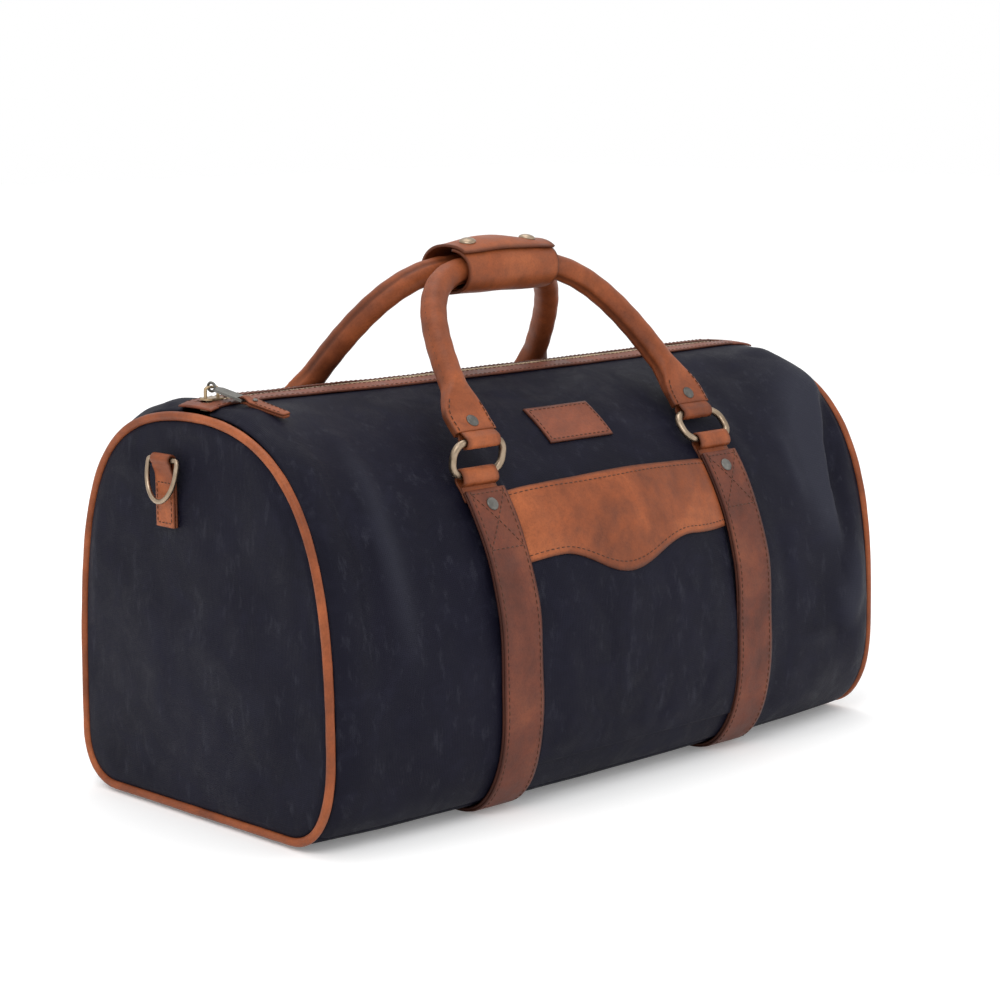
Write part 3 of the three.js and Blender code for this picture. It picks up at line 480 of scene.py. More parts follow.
def bump(nodes, links, shader, heights):
    """Chains bumps: each is (height output, strength, distance)."""
    normal = None
    for height, strength, distance in heights:
        made = node(nodes, "ShaderNodeBump", Strength=strength, Distance=distance)
        links.new(height, made.inputs["Height"])
        if normal:
            links.new(normal, made.inputs["Normal"])
        normal = made.outputs["Normal"]
    links.new(normal, shader.inputs["Normal"])


def weave_height(nodes, links, yarn):
    """A plain weave in a piece's flat coordinates: crossed waves of one yarn's width."""
    where = nodes.new("ShaderNodeTexCoord")
    waves = []
    for direction in ("X", "Y"):
        wave = node(nodes, "ShaderNodeTexWave", bands_direction=direction)
        wave.inputs["Scale"].default_value = 0.3142 / yarn / 2
        wave.inputs["Distortion"].default_value = 0.6
        wave.inputs["Detail"].default_value = 1.0
        wave.inputs["Detail Scale"].default_value = 3.0
        links.new(where.outputs["UV"], wave.inputs["Vector"])
        waves.append(wave.outputs["Fac"])
    top = node(nodes, "ShaderNodeMath", operation="MAXIMUM")
    links.new(waves[0], top.inputs[0])
    links.new(waves[1], top.inputs[1])
    return top.outputs[0]


def canvas_material():
    material, nodes, links, shader = new_material("waxed_canvas", 0.62, specular=0.10)
    broad = noise(nodes, links, 9, 4, 0.6)
    cloudy = noise(nodes, links, 38, 5, 0.65, distortion=0.6)
    scuff = noise(nodes, links, 120, 4, 0.7, stretch=(1, 1, 0.35))
    base = ramp(nodes, links, broad, [(0.3, (0.0036, 0.0034, 0.0088)), (0.7, (0.0064, 0.0060, 0.0138))])
    cloud_mask = ramp(nodes, links, cloudy, [(0.5, grey(0.0)), (0.78, grey(0.55))])
    waxed = blend_colors(nodes, links, base, (0.0150, 0.0148, 0.0265), cloud_mask)
    scuff_mask = ramp(nodes, links, scuff, [(0.56, grey(0.0)), (0.8, grey(0.4))])
    scuffed = blend_colors(nodes, links, waxed, (0.040, 0.041, 0.055), scuff_mask)
    crease = ramp(nodes, links, attribute(nodes, "edge"), [(0.0, grey(0.0)), (1.0, grey(0.7))])
    worn = blend_colors(nodes, links, scuffed, (0.030, 0.031, 0.044), crease)
    weave = weave_height(nodes, links, 0.0007)
    shade = ramp(nodes, links, weave, [(0.0, grey(0.72)), (1.0, grey(1.12))])
    final = blend_colors(nodes, links, worn, shade, 1.0, "MULTIPLY")
    links.new(final, shader.inputs["Base Color"])
    rough = ramp(nodes, links, cloudy, [(0.35, grey(0.5)), (0.75, grey(0.72))])
    links.new(rough, shader.inputs["Roughness"])
    bump(nodes, links, shader, [(broad, 0.5, 0.003), (cloudy, 0.35, 0.0012), (weave, 0.5, 0.00022)])
    return material


def leather_material(name, dark, middle, light, roughness=0.5):
    material, nodes, links, shader = new_material(name, roughness, specular=0.22)
    broad = noise(nodes, links, 14, 4, 0.6, distortion=0.4)
    mottle = noise(nodes, links, 75, 5, 0.65)
    pores = noise(nodes, links, 620, 3, 0.6)
    base = ramp(nodes, links, broad, [(0.28, dark), (0.5, middle), (0.74, light)])
    tone = ramp(nodes, links, mottle, [(0.3, grey(0.62)), (0.7, grey(1.1))])
    mottled = blend_colors(nodes, links, base, tone, 0.75, "MULTIPLY")
    edge = ramp(nodes, links, attribute(nodes, "edge"), [(0.0, grey(0.0)), (1.0, grey(0.72))])
    burnt = tuple(v * 0.30 for v in dark)
    edged = blend_colors(nodes, links, mottled, burnt, edge)
    specks = ramp(nodes, links, pores, [(0.3, grey(0.78)), (0.55, grey(1.0))])
    links.new(blend_colors(nodes, links, edged, specks, 0.8, "MULTIPLY"), shader.inputs["Base Color"])
    rough = ramp(nodes, links, mottle, [(0.3, grey(roughness - 0.1)), (0.75, grey(roughness + 0.15))])
    links.new(rough, shader.inputs["Roughness"])
    heights = [(broad, 0.25, 0.001), (mottle, 0.3, 0.0007), (pores, 0.35, 0.00025)]
    bump(nodes, links, shader, heights)
    return material


def metal_material(name, dark, light, roughness):
    material, nodes, links, shader = new_material(name, roughness, metallic=1.0)
    broad = noise(nodes, links, 60, 4, 0.6)
    fine = noise(nodes, links, 500, 3, 0.6)
    links.new(ramp(nodes, links, broad, [(0.3, dark), (0.65, light)]), shader.inputs["Base Color"])
    rough = ramp(nodes, links, fine, [(0.3, grey(roughness - 0.08)), (0.75, grey(roughness + 0.16))])
    links.new(rough, shader.inputs["Roughness"])
    bump(nodes, links, shader, [(broad, 0.2, 0.0004), (fine, 0.2, 0.0001)])
    return material


def cloth_material(name, dark, light, yarn, roughness=0.85):
    material, nodes, links, shader = new_material(name, roughness, specular=0.2, Sheen_Weight=0.1)
    broad = noise(nodes, links, 30, 4, 0.6)
    weave = weave_height(nodes, links, yarn)
    base = ramp(nodes, links, broad, [(0.3, dark), (0.7, light)])
    shade = ramp(nodes, links, weave, [(0.0, grey(0.75)), (1.0, grey(1.1))])
    links.new(blend_colors(nodes, links, base, shade, 1.0, "MULTIPLY"), shader.inputs["Base Color"])
    bump(nodes, links, shader, [(broad, 0.3, 0.001), (weave, 0.5, 0.0003)])
    return material


CANVAS_LOOK = canvas_material()
LEATHER_LOOK = leather_material(
    "tan_leather", (0.125, 0.031, 0.011), (0.255, 0.065, 0.021), (0.410, 0.118, 0.040),
)
STRAP_LOOK = leather_material(
    "strap_leather", (0.066, 0.017, 0.009), (0.128, 0.034, 0.018), (0.215, 0.062, 0.028),
)
TRIM_LOOK = leather_material(
    "brown_leather", (0.110, 0.030, 0.016), (0.190, 0.053, 0.026), (0.270, 0.076, 0.036), 0.45,
)
LINING_LOOK = cloth_material("cotton_lining", (0.20, 0.175, 0.135), (0.30, 0.27, 0.21), 0.0006)
TAPE_LOOK = cloth_material("zip_tape_weave", (0.008, 0.008, 0.009), (0.018, 0.017, 0.018), 0.0004)
BRASS_LOOK = metal_material("antique_brass", (0.20, 0.135, 0.075), (0.48, 0.36, 0.22), 0.36)
RING_LOOK = metal_material("warm_nickel", (0.20, 0.145, 0.095), (0.40, 0.31, 0.225), 0.36)
STEEL_LOOK = metal_material("gunmetal", (0.075, 0.072, 0.066), (0.185, 0.180, 0.165), 0.44)
THREAD_LOOK = cloth_material("dark_thread", (0.055, 0.022, 0.012), (0.105, 0.042, 0.022), 0.0003)
BOARD_LOOK = cloth_material("stiffening_board", (0.012, 0.011, 0.011), (0.026, 0.024, 0.022), 0.0009)
CORD_LOOK = cloth_material("cotton_cord", (0.42, 0.37, 0.28), (0.58, 0.52, 0.42), 0.0012)

KEPT_INSIDE = (("base_board", BOARD_LOOK), ("handle_core_front", CORD_LOOK), ("handle_core_back", CORD_LOOK))
for name, look in KEPT_INSIDE:
    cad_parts[name].data.materials.clear()
    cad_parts[name].data.materials.append(look)


# ------------------------------------------------------------------ camera, floor and light
CAMERA_AT = Vector((-1.36233, -1.42092, 0.52517))
RIGHT = Vector((0.71884, -0.69514, -0.00725))
UP = Vector((0.11983, 0.11362, 0.98627))
LENS = 92.63  # mm
SENSOR = 36  # mm
FLOOR_REACH = 9.0


def make_camera():
    data = bpy.data.cameras.new("camera")
    data.lens = LENS
    data.sensor_width = SENSOR
    data.clip_end = 50
    camera = bpy.data.objects.new("camera", data)
    backwards = RIGHT.cross(UP).normalized()
    turn = Matrix((RIGHT, UP, backwards)).transposed().to_4x4()
    camera.matrix_world = Matrix.Translation(CAMERA_AT) @ turn
    bpy.context.scene.collection.objects.link(camera)
    bpy.context.scene.camera = camera


def area_light(name, at, target, size, energy, color=(1, 1, 1)):
    data = bpy.data.lights.new(name, "AREA")
    data.shape = "DISK"
    data.size = size
    data.energy = energy
    data.color = color
    lamp = bpy.data.objects.new(name, data)
    lamp.location = at
    lamp.rotation_euler = (Vector(target) - Vector(at)).to_track_quat("-Z", "Y").to_euler()
    bpy.context.scene.collection.objects.link(lamp)


def make_studio():
    material, nodes, links, shader = new_material("pale_floor", 0.9, specular=0.1)
    tone = noise(nodes, links, 0.7, 2, 0.5)
    links.new(ramp(nodes, links, tone, [(0.0, grey(0.90)), (1.0, grey(0.93))]), shader.inputs["Base Color"])
    shader.inputs["Emission Color"].default_value = (1, 1, 1, 1)
    shader.inputs["Emission Strength"].default_value = 0.15
    corners = [(sx * FLOOR_REACH, sy * FLOOR_REACH, 0) for sx, sy in ((-1, -1), (1, -1), (1, 1), (-1, 1))]
    floor = bpy.data.meshes.new("floor")
    floor.from_pydata(corners, [], [[0, 1, 2, 3]])
    floor.materials.append(material)
    floor_object = bpy.data.objects.new("floor", floor)
    bpy.context.scene.collection.objects.link(floor_object)
    world = bpy.data.worlds.new("studio")
    world.use_nodes = True
    world.node_tree.nodes["Background"].inputs["Color"].default_value = (1, 1, 1, 1)
    world.node_tree.nodes["Background"].inputs["Strength"].default_value = 1.0
    bpy.context.scene.world = world
    area_light("key", (-1.9, -1.2, 2.1), (0, 0, 0.15), 1.5, 26)
    area_light("fill", (1.6, -2.4, 1.3), (0, 0, 0.15), 1.8, 9)
    area_light("top", (0.2, 0.5, 2.5), (0, 0, 0.1), 1.6, 15)


bpy.context.scene.view_settings.view_transform = "Standard"
make_camera()
make_studio()


# ------------------------------------------------------------------ folds in the canvas
def girth(x, height, side):
    """Distance up the side of the middle section, used to lay folds out on the cloth."""
    places = np.linspace(1, 3, 400)
    points = skin(0.0, places, side)
    return np.interp(place_at_height(x, height, side), places, run_length(points))


def fold_height(x, run, fold, side):
    """The height of one fold: a rounded ridge along a line of (x, height over the floor) points."""
    line, height, width = fold[:3]
    far_width = fold[3] if len(fold) > 3 else width
    line = np.array([[px, float(girth(px, pz, side))] for px, pz in line])
    spot = np.stack([x, run], axis=-1)
    best = np.full(x.shape, 1e9)
    beyond = np.zeros(x.shape)
    along = np.zeros(x.shape)
    lengths = run_length(line)
    for k in range(len(line) - 1):
        a, b = line[k], line[k + 1]
        d = b - a
        t = np.clip(((spot - a) @ d) / (d @ d), 0, 1)
        gap = np.linalg.norm(spot - (a + t[..., None] * d), axis=-1)
        nearer = gap < best
        cross = d[0] * (spot[..., 1] - a[1]) - d[1] * (spot[..., 0] - a[0])
        beyond = np.where(nearer, cross > 0, beyond)
        best = np.where(nearer, gap, best)
        along = np.where(nearer, (lengths[k] + t * (lengths[k + 1] - lengths[k])) / lengths[-1], along)
    taper = np.sin(np.pi * np.clip(along, 0.02, 0.98)) ** 0.7
    return height * taper * np.exp(-((best / np.where(beyond > 0, far_width, width)) ** 2))


# each fold: line of (x, z), height out of the surface, half-width of the ridge, and its far side's if different
FRONT_FOLDS = [
    ([(0.282, 0.290), (0.279, 0.274), (0.264, 0.256), (0.248, 0.226), (0.242, 0.195), (0.246, 0.140)],
     0.0085, 0.026, 0.0055),
    ([(0.279, 0.262), (0.266, 0.235), (0.256, 0.205), (0.256, 0.165)], -0.0045, 0.0075),
    ([(0.268, 0.150), (0.262, 0.120), (0.258, 0.085)], 0.0040, 0.010),
    ([(0.215, 0.245), (0.212, 0.215), (0.216, 0.180)], 0.0022, 0.006),
    ([(0.175, 0.285), (0.172, 0.255), (0.168, 0.215)], -0.0030, 0.010),
    ([(0.172, 0.056), (0.205, 0.062), (0.240, 0.046)], 0.0040, 0.008),
    ([(0.168, 0.074), (0.205, 0.080), (0.244, 0.070)], -0.0030, 0.009),
    ([(0.245, 0.120), (0.252, 0.090), (0.250, 0.060)], 0.0030, 0.010),
    ([(0.170, 0.190), (0.176, 0.130), (0.172, 0.080)], -0.0030, 0.012),
    ([(-0.175, 0.250), (-0.178, 0.190), (-0.172, 0.110)], -0.0026, 0.012),
    ([(-0.215, 0.275), (-0.222, 0.210), (-0.216, 0.120)], 0.0028, 0.010),
    ([(-0.250, 0.262), (-0.246, 0.190), (-0.254, 0.100)], -0.0026, 0.010),
    ([(-0.060, 0.285), (-0.020, 0.282), (0.030, 0.284)], -0.0018, 0.008),
]
BACK_FOLDS = [
    ([(-0.08, 0.22), (-0.03, 0.19), (0.02, 0.20), (0.07, 0.17)], 0.0034, 0.012),
    ([(-0.07, 0.13), (-0.01, 0.115), (0.06, 0.125)], -0.0030, 0.014),
    ([(-0.05, 0.25), (0.0, 0.235), (0.06, 0.24)], -0.0028, 0.012),
]


def free_cloth(x, height, side):
    """1 where the canvas is free to fold, 0 under straps, pocket and patch and beside seams."""
    strap = smooth(np.abs(np.abs(x) - STRAP_X), STRAP_HALF + 0.002, STRAP_HALF + 0.016)
    end = smooth(PANEL_END - np.abs(x), 0.0, 0.010)
    free = strap * end
    if side == FRONT:
        beside_pocket = 1 - smooth(np.abs(x), POCKET_HALF + 0.001, POCKET_HALF + 0.012)
        under_pocket = beside_pocket * (1 - smooth(height, 0.236, 0.252))
        beside_patch = 1 - smooth(np.abs(x), 0.036, 0.052)
        near_patch = beside_patch * smooth(height, 0.236, 0.25) * (1 - smooth(height, 0.277, 0.287))
        free = free * (1 - under_pocket) * (1 - near_patch)
    return free


def canvas_lift(points, x, places, side):
    """How far each point of the canvas stands off the plain surface, and how sharply it is creased."""
    run_table = run_length(skin(0.0, np.linspace(1, 3, 400), side))
    run = np.interp(places, np.linspace(1, 3, 400), run_table)
    # the back has the front's folds turned end for end, and some of its own where the front has its pocket
    sharp = sum(fold_height(x * -side, run, fold, side) for fold in FRONT_FOLDS)
    if side == BACK:
        sharp = sharp + sum(fold_height(x, run, fold, side) for fold in BACK_FOLDS)
    soft = wander(points, 16, 3.0 + side) * 0.0030 + wander(points, 42, 9.0 + side) * 0.0011
    free = free_cloth(x, points[..., 2], side)
    zip_side = smooth(np.abs(points[..., 1]), 0.022, 0.045)
    seam = smooth(places, SEAM, SEAM + 0.35)
    amount = free * zip_side * seam
    lift = amount * (sharp + soft)
    tuck = -0.0022 * (1 - smooth(places, SEAM, SEAM + 0.06))
    end_tuck = -0.0020 * (1 - smooth(PANEL_END - np.abs(x), 0.0, 0.008))
    crease = np.clip(sharp / 0.005, 0, 1) * amount
    from_end = PANEL_END - np.abs(x)
    puff = 0.0034 * np.exp(-(((from_end - 0.020) / 0.016) ** 2)) * smooth(places, 1.5, 2.0) * zip_side
    return lift + tuck + end_tuck + puff, crease


def grid_uv(points):
    """Flat coordinates for a grid: distance along its rows and columns, in metres."""
    rows, columns = points.shape[:2]
    steps_across = np.linalg.norm(np.diff(points, axis=1), axis=2).cumsum(1)
    steps_along = np.linalg.norm(np.diff(points, axis=0), axis=2).cumsum(0)
    across = np.concatenate([np.zeros((rows, 1)), steps_across], axis=1)
    along = np.concatenate([np.zeros((1, columns)), steps_along], axis=0)
    middle = across[:, across.shape[1] // 2][:, None]
    return np.stack([across - middle, along], axis=-1)


def lens_weight(x):
    """How much of the mouth's opening a point at x takes: none at the zip's two ends."""
    u = np.clip((2 * x - MOUTH_LEFT - MOUTH_RIGHT) / (MOUTH_RIGHT - MOUTH_LEFT), -1, 1)
    return (1 - u * u) ** 1.2


def fold_with_lip(obj, weights=None):
    """Bakes a finished piece's placement into its mesh and works out weights for following the mouth's lip,
    more in the middle of the zip than at its ends; the weights are not applied or kept.
    """
    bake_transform(obj)
    co = np.array([v.co for v in obj.data.vertices])
    weight = lens_weight(co[:, 0])
    if weights is not None:
        weight = weight * weights(co)
    return obj


def near_mouth(co):
    """1 beside the zip, falling to 0 at the shoulder, and 0 all over the lower half."""
    return (1 - smooth(np.abs(co[:, 1]), 0.022, 0.105)) * (co[:, 2] >= 0.2)


def make_side_canvas(side, name):
    columns, rows = 230, 130
    x = np.linspace(-PANEL_END, PANEL_END, columns)[None].repeat(rows, 0)
    last = place_at_half_width(x[0], 0.0165, side)
    share = np.linspace(0, 1, rows)[:, None]
    places = SEAM + (last[None] - SEAM) * share
    points = skin(x, places, side)
    lift, crease = canvas_lift(points, x, places, side)
    outer = skin(x, places, side, lift)
    inner = skin(x, places, side, lift - CANVAS)
    verts, faces = shell(outer, inner)
    uv = grid_uv(outer).reshape(-1, 2)
    creases = np.concatenate([crease.ravel(), crease.ravel()])
    build = Build().add(verts, faces, np.concatenate([uv, uv]), creases)
    obj = build.make(f"canvas_{name}", CANVAS_LOOK)
    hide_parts(f"{name}_panel", f"mouth_panel_{name}")
    fold_with_lip(obj, near_mouth)
    return obj


def make_base_canvas():
    columns, rows = 120, 60
    x = np.linspace(-PANEL_END, PANEL_END, columns)[None].repeat(rows, 0)
    q = np.linspace(-SEAM, SEAM, rows)[:, None].repeat(columns, 1)
    tuck = -0.0022 * smooth(np.abs(q), SEAM - 0.07, SEAM)
    from_seam = smooth(SEAM - np.abs(q), 0, 0.2)
    soft = wander(skin(x, np.abs(q), np.sign(q)), 20, 5.0) * 0.0008 * from_seam - 0.0004
    side = np.where(q < 0, -1.0, 1.0)
    outer = skin(x, np.abs(q), side, tuck + soft)
    inner = skin(x, np.abs(q), side, tuck + soft - CANVAS)
    verts, faces = shell(outer, inner)
    uv = grid_uv(outer).reshape(-1, 2)
    obj = Build().add(verts, faces, np.concatenate([uv, uv])).make("canvas_base", CANVAS_LOOK, "bag")
    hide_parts("base_panel")


def end_outline(inset, corner_steps=26, side_steps=60):
    """The closed outline of an end, moved in by inset, from the middle of the base round by the back."""
    corner = 1 + np.arange(corner_steps) / corner_steps
    upper = 2 + np.arange(side_steps) / side_steps
    half = np.concatenate([np.linspace(0, 1, 24, endpoint=False), corner, upper])
    back = skin(HALF_LENGTH, half, BACK, -inset)
    front = skin(HALF_LENGTH, np.concatenate([[3.0], half[::-1][:-1]]), FRONT, -inset)
    return np.concatenate([back, front])[:, 1:]


def make_end_canvas(end, name):
    outline = end_outline(2 * PIPING_RADIUS * 0.86)
    middle = np.array([0.0, 0.15])
    scales = np.concatenate([np.linspace(1, 0.9, 8), np.linspace(0.9, 0.0, 40)[1:-1]])
    outer = []
    for s in scales:
        ring = middle + (outline - middle) * s
        bow = 0.0055 * (1 - s ** 2.4)
        seat = np.stack([np.full(len(ring), 0.3 * end), ring[:, 0], ring[:, 1]], axis=-1)
        free = smooth(1 - s, 0.0, 0.12)
        waves = wander(seat, 13, 2.0 + end) * 0.0042 + wander(seat, 36, 8.0) * 0.0014
        corner_pull = np.cos(3 * np.arctan2(ring[:, 1] - middle[1], ring[:, 0])) * 0.0012 * s
        tuck = -0.0016 * (1 - smooth(1 - s, 0, 0.025))
        out = HALF_LENGTH - 0.0022 + bow + free * (waves + corner_pull) + tuck
        outer.append(np.stack([end * out, ring[:, 0], ring[:, 1]], axis=-1))
    outer = np.array(outer)
    inner = outer - np.array([end * CANVAS, 0, 0])
    rings = np.concatenate([outer[::-1], inner])
    verts, faces = loft(rings)
    uv = verts[:, 1:]
    obj = Build().add(verts, faces, uv).make(f"canvas_end_{name}", CANVAS_LOOK, "bag")
    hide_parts(f"end_panel_{name}")


def make_piping(end, name):
    outline = resample(end_outline(PIPING_RADIUS * 0.9), 260)[:-1]
    x = end * (HALF_LENGTH - PIPING_RADIUS * 1.25)
    path = np.stack([np.full(len(outline), x), outline[:, 0], outline[:, 1]], axis=-1)
    wobble = wander(path, 60, 4.0) * 0.00022
    section = oval(1, 1, 14)[None] * (PIPING_RADIUS + wobble)[:, None, None]
    verts, faces = loft(swept(path, (1, 0, 0), section, True), True)
    build = Build().add(verts, faces)
    obj = build.make(f"piping_cord_{name}", LEATHER_LOOK, "bag")
    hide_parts(f"piping_{name}")


for side, name in SIDES:
    make_side_canvas(side, name)
make_base_canvas()
for end, name in ENDS:
    make_end_canvas(end, name)
    make_piping(end, name)


# ------------------------------------------------------------------ lining
def make_lining():
    columns, rows = 110, 120
    end = PANEL_END - 0.004
    x = np.linspace(-end, end, columns)[None].repeat(rows, 0)
    top = {s: place_at_half_width(x[0], 0.034, s) for s in (-1, 1)}
    share = np.linspace(-1, 1, rows)[:, None].repeat(columns, 1)
    side = np.where(share < 0, -1.0, 1.0)
    q = np.abs(share) * np.where(share < 0, top[-1][None], top[1][None])
    plain = skin(x, q, side)
    ripple = np.abs(wander(plain, 26, 6.0)) * 0.003 * smooth(q, 1.6, 2.2)
    raised = 0.0034 * (1 - smooth(q, 1.1, 1.5))
    inset = 0.0095 * smooth(q, 1.3, 1.8) + 0.0052 * (1 - smooth(q, 1.3, 1.8)) + ripple + raised
    outer = skin(x, q, side, -inset)
    inner = skin(x, q, side, -inset - 0.0009)
    verts, faces = shell(outer, inner)
    uv = grid_uv(outer).reshape(-1, 2)
    build = Build().add(verts, faces, np.concatenate([uv, uv]))
    for sign in (-1, 1):
        outline = end_outline(0.0062)
        middle = np.array([0.0, 0.15])
        rings = []
        for s in np.linspace(1, 0.02, 24):
            ring = middle + (outline - middle) * s
            reach = np.full(len(ring), sign * (end - 0.001))
            rings.append(np.stack([reach, ring[:, 0], np.maximum(ring[:, 1], 0.0095)], axis=-1))
        rings = np.array(rings)
        waves = wander(rings, 20, 12.0) * 0.0015
        rings[..., 0] += -sign * (0.001 + np.abs(waves))
        back = rings + np.array([sign * 0.0009, 0, 0])
        verts, faces = loft(np.concatenate([rings[::-1], back]))
        build.add(verts, faces, verts[:, 1:])
    obj = build.make("lining_cloth", LINING_LOOK, "bag")
    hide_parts("lining")


make_lining()


# ------------------------------------------------------------------ zip
def crown_line(half_width, lift, side, start=MOUTH_LEFT, finish=MOUTH_RIGHT, count=220):
    """A line along the crown beside the zip, with the surface's normals."""
    x = np.linspace(start, finish, count)
    places = place_at_half_width(x, half_width, side)
    return skin(x, places, side, lift, with_normal=True)


def make_zip(side, name):
    middle = (FACING_INNER + FACING_OUTER) / 2
    points, normals = crown_line(middle, 0.0001, side)
    wave = wander(points, 30, 5.0 + side) * 0.0006
    points = points + normals * wave[:, None]
    build = Build()
    add_band(build, points, normals, (FACING_OUTER - FACING_INNER) / 2, 0.0019)
    facing = build.make(f"facing_{name}", TRIM_LOOK)
    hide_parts(f"zip_facing_{name}")
    fold_with_lip(facing)

    stitches = Build()
    for half in (FACING_OUTER - 0.0022, FACING_INNER + 0.002):
        line, normal = crown_line(half, 0.0020, side)
        stitch_row(stitches, line + normal * wave[:, None], normal, length=0.0034)
    thread = stitches.make(f"facing_stitches_{name}", THREAD_LOOK)
    fold_with_lip(thread)

    line, normal = crown_line(0.0062, -0.0012, side)
    tape = Build()
    add_band(tape, line, normal, 0.0042, 0.0008)
    tape_object = tape.make(f"tape_{name}", TAPE_LOOK)
    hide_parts(f"zip_tape_{name}")
    fold_with_lip(tape_object)

    pitch = 0.0030
    count = int((MOUTH_RIGHT - MOUTH_LEFT - 0.004) / pitch)
    teeth = Build()
    head = np.array([
        [-0.5, -0.9], [0.5, -0.9], [0.62, 0.25], [0.95, 0.9], [0.75, 1.45],
        [0.0, 1.75], [-0.75, 1.45], [-0.95, 0.9], [-0.62, 0.25],
    ])
    crown = section_sizes(np.linspace(MOUTH_LEFT, MOUTH_RIGHT, 50), -1.0)[5]
    for k in range(count):
        x = MOUTH_LEFT + 0.002 + (k + (0.5 if side > 0 else 0)) * pitch
        z = np.interp(x, np.linspace(MOUTH_LEFT, MOUTH_RIGHT, 50), crown) - 0.0004
        rings = []
        for height, scale in ((-0.0016, 0.82), (-0.0012, 1.0), (0.0008, 1.0), (0.0013, 0.86), (0.0015, 0.6)):
            across = side * (0.0016 - head[:, 1] * 0.00135 * (0.6 + 0.4 * scale))
            along = x + head[:, 0] * 0.00125 * scale
            rings.append(np.stack([along, across, np.full(len(head), z + height)], axis=-1))
        teeth.add(*loft(rings))
    teeth_object = teeth.make(f"teeth_{name}", BRASS_LOOK)
    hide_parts(f"zip_teeth_{name}")
    fold_with_lip(teeth_object)


def make_zip_end(end, name):
    """The leather end of the zip, from the open part to the piping."""
    start = MOUTH_LEFT + 0.0005 if end < 0 else MOUTH_RIGHT - 0.0005
    finish = end * (PANEL_END + 0.0005)
    columns, rows = 24, 17
    x = np.linspace(start, finish, columns)[None].repeat(rows, 0)
    y = np.linspace(-FACING_OUTER, FACING_OUTER, rows)[:, None].repeat(columns, 1)
    side = np.where(y < 0, -1.0, 1.0)
    places = place_where(x, side, lambda p: np.abs(p[..., 1]) > np.abs(y))
    rounding = 0.0006 * (1 - smooth(FACING_OUTER - np.abs(y), 0, 0.0015))
    outer = skin(x, places, side, 0.0020 - rounding)
    inner = skin(x, places, side, 0.0002)
    verts, faces = shell(outer, inner)
    obj = Build().add(verts, faces).make(f"zip_end_{name}", TRIM_LOOK, "bag")
    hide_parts(f"zip_end_tab_{name}")


for side, name in SIDES:
    make_zip(side, name)
for end, name in ENDS:
    make_zip_end(end, name)


# ------------------------------------------------------------------ straps
STRAP_PLY = 0.0021
TAIL_OVER = 0.0038
STITCH_INSET = 0.0034
CROSS_RUNS = (0.0035, 0.046)  # the crossed stitches' first and last run from the strap's top


def strap_line(x, count=330):
    """The strap's way from the front ring down, under the bag and up to the back ring."""
    top = float(place_at_height(x, STRAP_TOP, BACK))
    q = np.linspace(-top, top, 1400)
    side = np.where(q < 0, -1.0, 1.0)
    points, normals = skin(x, np.abs(q), side, 0.0, with_normal=True)
    points, normals, q = resample(points, count, normals, q[:, None])
    return points, unit(normals), q[:, 0], top


def make_strap(end, name):
    x = end * STRAP_X
    points, normals, q, top = strap_line(x)
    share = np.abs(q) / top
    lift = 0.0004 + TAIL_OVER * smooth(share, 0.86, 0.91)
    thick = lerp(0.0023, 2 * STRAP_PLY, smooth(share, 0.42, 0.56))
    wobble = 0.00025 * np.sin(np.arange(len(q)) * 0.21) * smooth(share, 0.5, 0.6)
    build = Build()
    add_band(build, points, normals, STRAP_HALF + wobble, thick, grooved=True, lift=lift)
    strap = build.make(f"strap_band_{name}", STRAP_LOOK, "bag")
    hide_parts(f"strap_{name}")

    stitches = Build()
    _, across, normal = path_frames(points, normals)
    face = points + normal * (lift + thick)[:, None]
    visible = np.abs(q) > 1.25
    for part in (visible & (q < 0), visible & (q > 0)):
        for sign in (-1, 1):
            line = (face + across * sign * (STRAP_HALF - STITCH_INSET))[part]
            stitch_row(stitches, line, normal[part], length=0.0036, gap=0.0014)
        edge_run = run_length(face[part])
        from_top = edge_run if q[part][0] < 0 else edge_run[-1] - edge_run
        order = np.argsort(from_top)
        outwards = normal[part][order][6]

        def at(run, shift):
            pick = [np.interp(run, from_top[order], face[part][order][:, c]) for c in range(3)]
            return np.array(pick) + across[part][order][0] * shift

        w = STRAP_HALF - STITCH_INSET
        first, last = CROSS_RUNS
        runs = np.linspace(first, last, 14)
        for shifts in (np.linspace(-w, w, 14), np.linspace(w, -w, 14)):
            line = np.array([at(r, s) for r, s in zip(runs, shifts)])
            stitch_row(stitches, line, np.tile(outwards, (14, 1)), length=0.0032)
        for run in (first, last):
            line = np.array([at(run, s) for s in np.linspace(-w, w, 8)])
            stitch_row(stitches, line, np.tile(outwards, (8, 1)), length=0.0032)
    thread = stitches.make(f"strap_stitches_{name}", THREAD_LOOK, "bag")


def ring_seat(end, side):
    """Where a ring sits: its lower and upper wires, its way up, its face, and the canvas under it."""
    place = float(place_at_height(STRAP_X, STRAP_TOP + RING_RISE, side))
    low, normal = skin(STRAP_X, place, side, 0.00665, with_normal=True)
    along = np.array([0, -side * normal[2], abs(normal[1])])
    lean = UPRIGHT_LEAN if (end, side) == (-1, FRONT) else 0.0
    up = along * math.cos(lean) + normal * math.sin(lean)
    facing = normal * math.cos(lean) - along * math.sin(lean)
    return low, low + up * 2 * RING[1], up, facing, normal, -along


def handle_plane(side, x):
    """A handle's slope at x: from the line between its rings' upper wires to the grip."""
    share = (x + STRAP_X) / (2 * STRAP_X)
    root = lerp(ring_seat(-1, side)[1], ring_seat(1, side)[1], share) * np.array([0, 1, 1])
    grip = np.array([0, side * HANDLE_APART, HANDLE_TOP])
    up = grip - root
    length = np.linalg.norm(up)
    up = up / length
    return root, up, np.array([0, side * up[2], -side * up[1]]), length


